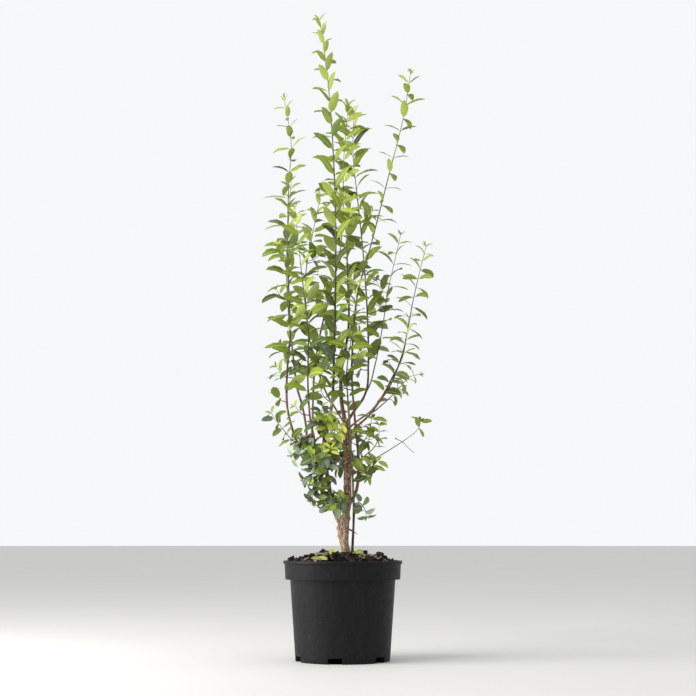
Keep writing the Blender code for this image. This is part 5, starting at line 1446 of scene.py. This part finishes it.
def pot_profile():
    """The pot's section from the middle of its floor, up inside, over the lip and down to the underside."""
    slope = (BODY_TOP_RADIUS - BASE_RADIUS) / BAND_FOOT_HEIGHT
    inner_foot = BASE_RADIUS - POT_WALL
    inner_band = BAND_TOP_RADIUS - POT_WALL
    lip_under = POT_HEIGHT - LIP_HEIGHT
    niche_top = NOTCH_HEIGHT + POT_WALL
    return rounded([
        (FLOOR_MIDDLE_RADIUS, POT_FLOOR),
        (inner_foot, POT_FLOOR),
        (inner_foot + slope * niche_top, niche_top - NOTCH_EDGE),
        (inner_foot + slope * niche_top, niche_top + NOTCH_EDGE),
        (BODY_TOP_RADIUS - POT_WALL, BAND_FOOT_HEIGHT + POT_WALL),
        (BAND_FOOT_RADIUS - POT_WALL, BAND_FOOT_HEIGHT + POT_WALL),
        (inner_band, POT_HEIGHT),
        (LIP_RADIUS, POT_HEIGHT),
        (LIP_RADIUS, lip_under),
        (BAND_TOP_RADIUS, lip_under),
        (BAND_FOOT_RADIUS, BAND_FOOT_HEIGHT),
        (BODY_TOP_RADIUS, BAND_FOOT_HEIGHT),
        (BASE_RADIUS + slope * NOTCH_HEIGHT, NOTCH_HEIGHT + NOTCH_EDGE),
        (BASE_RADIUS + slope * NOTCH_HEIGHT, NOTCH_HEIGHT - NOTCH_EDGE),
        (BASE_RADIUS, 0.0),
        (BASE_RADIUS - NOTCH_DEPTH, 0.0),
        (FLOOR_MIDDLE_RADIUS, 0.0),
    ], MOULD_ROUND)


def make_pot():
    """The pot's profile turned round the axis, with both faces of its wall set back at each drain notch."""
    profile = pot_profile()
    even = 2 * math.pi * np.arange(POT_SIDES) / POT_SIDES
    half_angle = NOTCH_WIDTH / 2 / BASE_RADIUS
    middles = NOTCH_TURN + 2 * math.pi * np.arange(NOTCH_COUNT) / NOTCH_COUNT
    both_sides = [side * (1.0 + edge * NOTCH_SIDE_SHARE) for side in (-1, 1) for edge in (-1, 1)]
    edges = (middles[:, None] + half_angle * np.array(both_sides)[None]).ravel()
    turn = np.sort(np.concatenate((even, edges)) % (2 * math.pi))
    away = np.abs((turn[:, None] - middles[None] + math.pi) % (2 * math.pi) - math.pi).min(axis=1)
    in_notch = away < half_angle
    inside = (np.arange(len(profile)) <= int(np.argmax(profile[:, 0])))[:, None]
    cut = (profile[:, 1:2] < NOTCH_HEIGHT + POT_WALL * inside) & in_notch[None, :]
    niche = BASE_RADIUS - NOTCH_DEPTH - POT_WALL * inside
    radius = np.where(cut, np.minimum(profile[:, 0:1], niche), profile[:, 0:1])
    points = np.stack((radius * np.cos(turn), radius * np.sin(turn),
                       np.broadcast_to(profile[:, 1:2], radius.shape)), axis=-1).reshape(-1, 3)
    points = np.concatenate((points, [[0.0, 0.0, POT_FLOOR], [0.0, 0.0, 0.0]]))
    # The back faces of each notch's set-back get a near-black material: painted shade of the open drain slot
    set_back = (cut & ~inside)[:-1] & cut[1:]
    painted_shade_faces = (set_back & np.roll(set_back, -1, axis=1)).ravel().astype(int)
    piece = Piece("nursery_pot", [moulded_polypropylene(),
                                  composted("drain_slot_painted_shade", "#080706", "#030303", specular=0.02)])
    piece.add(points, (ring_faces(len(profile), len(turn))[:, ::-1], painted_shade_faces),
              (end_faces(len(profile), len(turn))[:, ::-1], 0))
    piece.made(["pot"], sharp=35.0)


# Studio lights: name, place, the point they face, side and power
STUDIO_LIGHTS = (
    ("high_left_light", (-3.0, -1.7, 2.8), (0.0, 0.0, 0.8), 2.6, 120.0),
    ("low_left_light", (-2.0, -0.3, 0.55), (0.0, 0.0, 0.15), 1.0, 28.0),
    ("right_light", (2.4, -2.4, 1.8), (0.0, 0.0, 0.7), 2.0, 4.0),
)


def make_studio():
    """A pale floor, a pale wall all round, a large soft light high on the left and two weaker ones."""
    mesh = bpy.data.meshes.new("floor")
    turns = [2 * math.pi * k / FLOOR_SIDES for k in range(FLOOR_SIDES)]
    rim = [(FLOOR_RADIUS * math.cos(turn), FLOOR_RADIUS * math.sin(turn), 0.0) for turn in turns]
    mesh.from_pydata(rim, [], [tuple(range(FLOOR_SIDES))])
    mesh.materials.append(rolled_floor_paint())
    floor = bpy.data.objects.new("floor", mesh)
    bpy.context.scene.collection.objects.link(floor)
    world = bpy.data.worlds.new("pale_wall")
    world.use_nodes = True
    tree = world.node_tree
    backdrop = tree.nodes["Background"]
    backdrop.inputs["Color"].default_value = tone("#f8fafb")
    strength = add_node(tree, "ShaderNodeMapRange", {
        "Value": add_node(tree, "ShaderNodeLightPath").outputs["Is Camera Ray"],
        "To Min": SKY_LIGHT, "To Max": WALL_LIGHT})
    tree.links.new(strength.outputs["Result"], backdrop.inputs["Strength"])
    bpy.context.scene.world = world
    for name, place, aim, size, power in STUDIO_LIGHTS:
        data = bpy.data.lights.new(name, "AREA")
        data.size = size
        data.energy = power
        lamp = bpy.data.objects.new(name, data)
        bpy.context.scene.collection.objects.link(lamp)
        lamp.location = place
        lamp.rotation_euler = (Vector(aim) - Vector(place)).to_track_quat("-Z", "Y").to_euler()


def make_camera():
    """The photograph's camera: a little above the pot's rim, and pitched up to take in the whole plant."""
    data = bpy.data.cameras.new("camera")
    data.sensor_width = SENSOR
    data.lens = SENSOR * FOCAL_LENGTH / IMAGE_SIDE
    camera = bpy.data.objects.new("camera", data)
    bpy.context.scene.collection.objects.link(camera)
    camera.location = CAMERA_PLACE
    camera.rotation_euler = (math.pi / 2 + CAMERA_PITCH, 0.0, 0.0)
    bpy.context.scene.camera = camera


stems, splits = grown_stems()
trunk_bark = old_privet_bark()
make_trunk(stems, trunk_bark)
make_boughs(stems, splits, trunk_bark)
make_foliage(stems, splits)
make_compost()
make_chips()
make_fallen_leaves()
make_pot()
make_studio()
make_camera()
bpy.context.scene.view_settings.view_transform = "Standard"
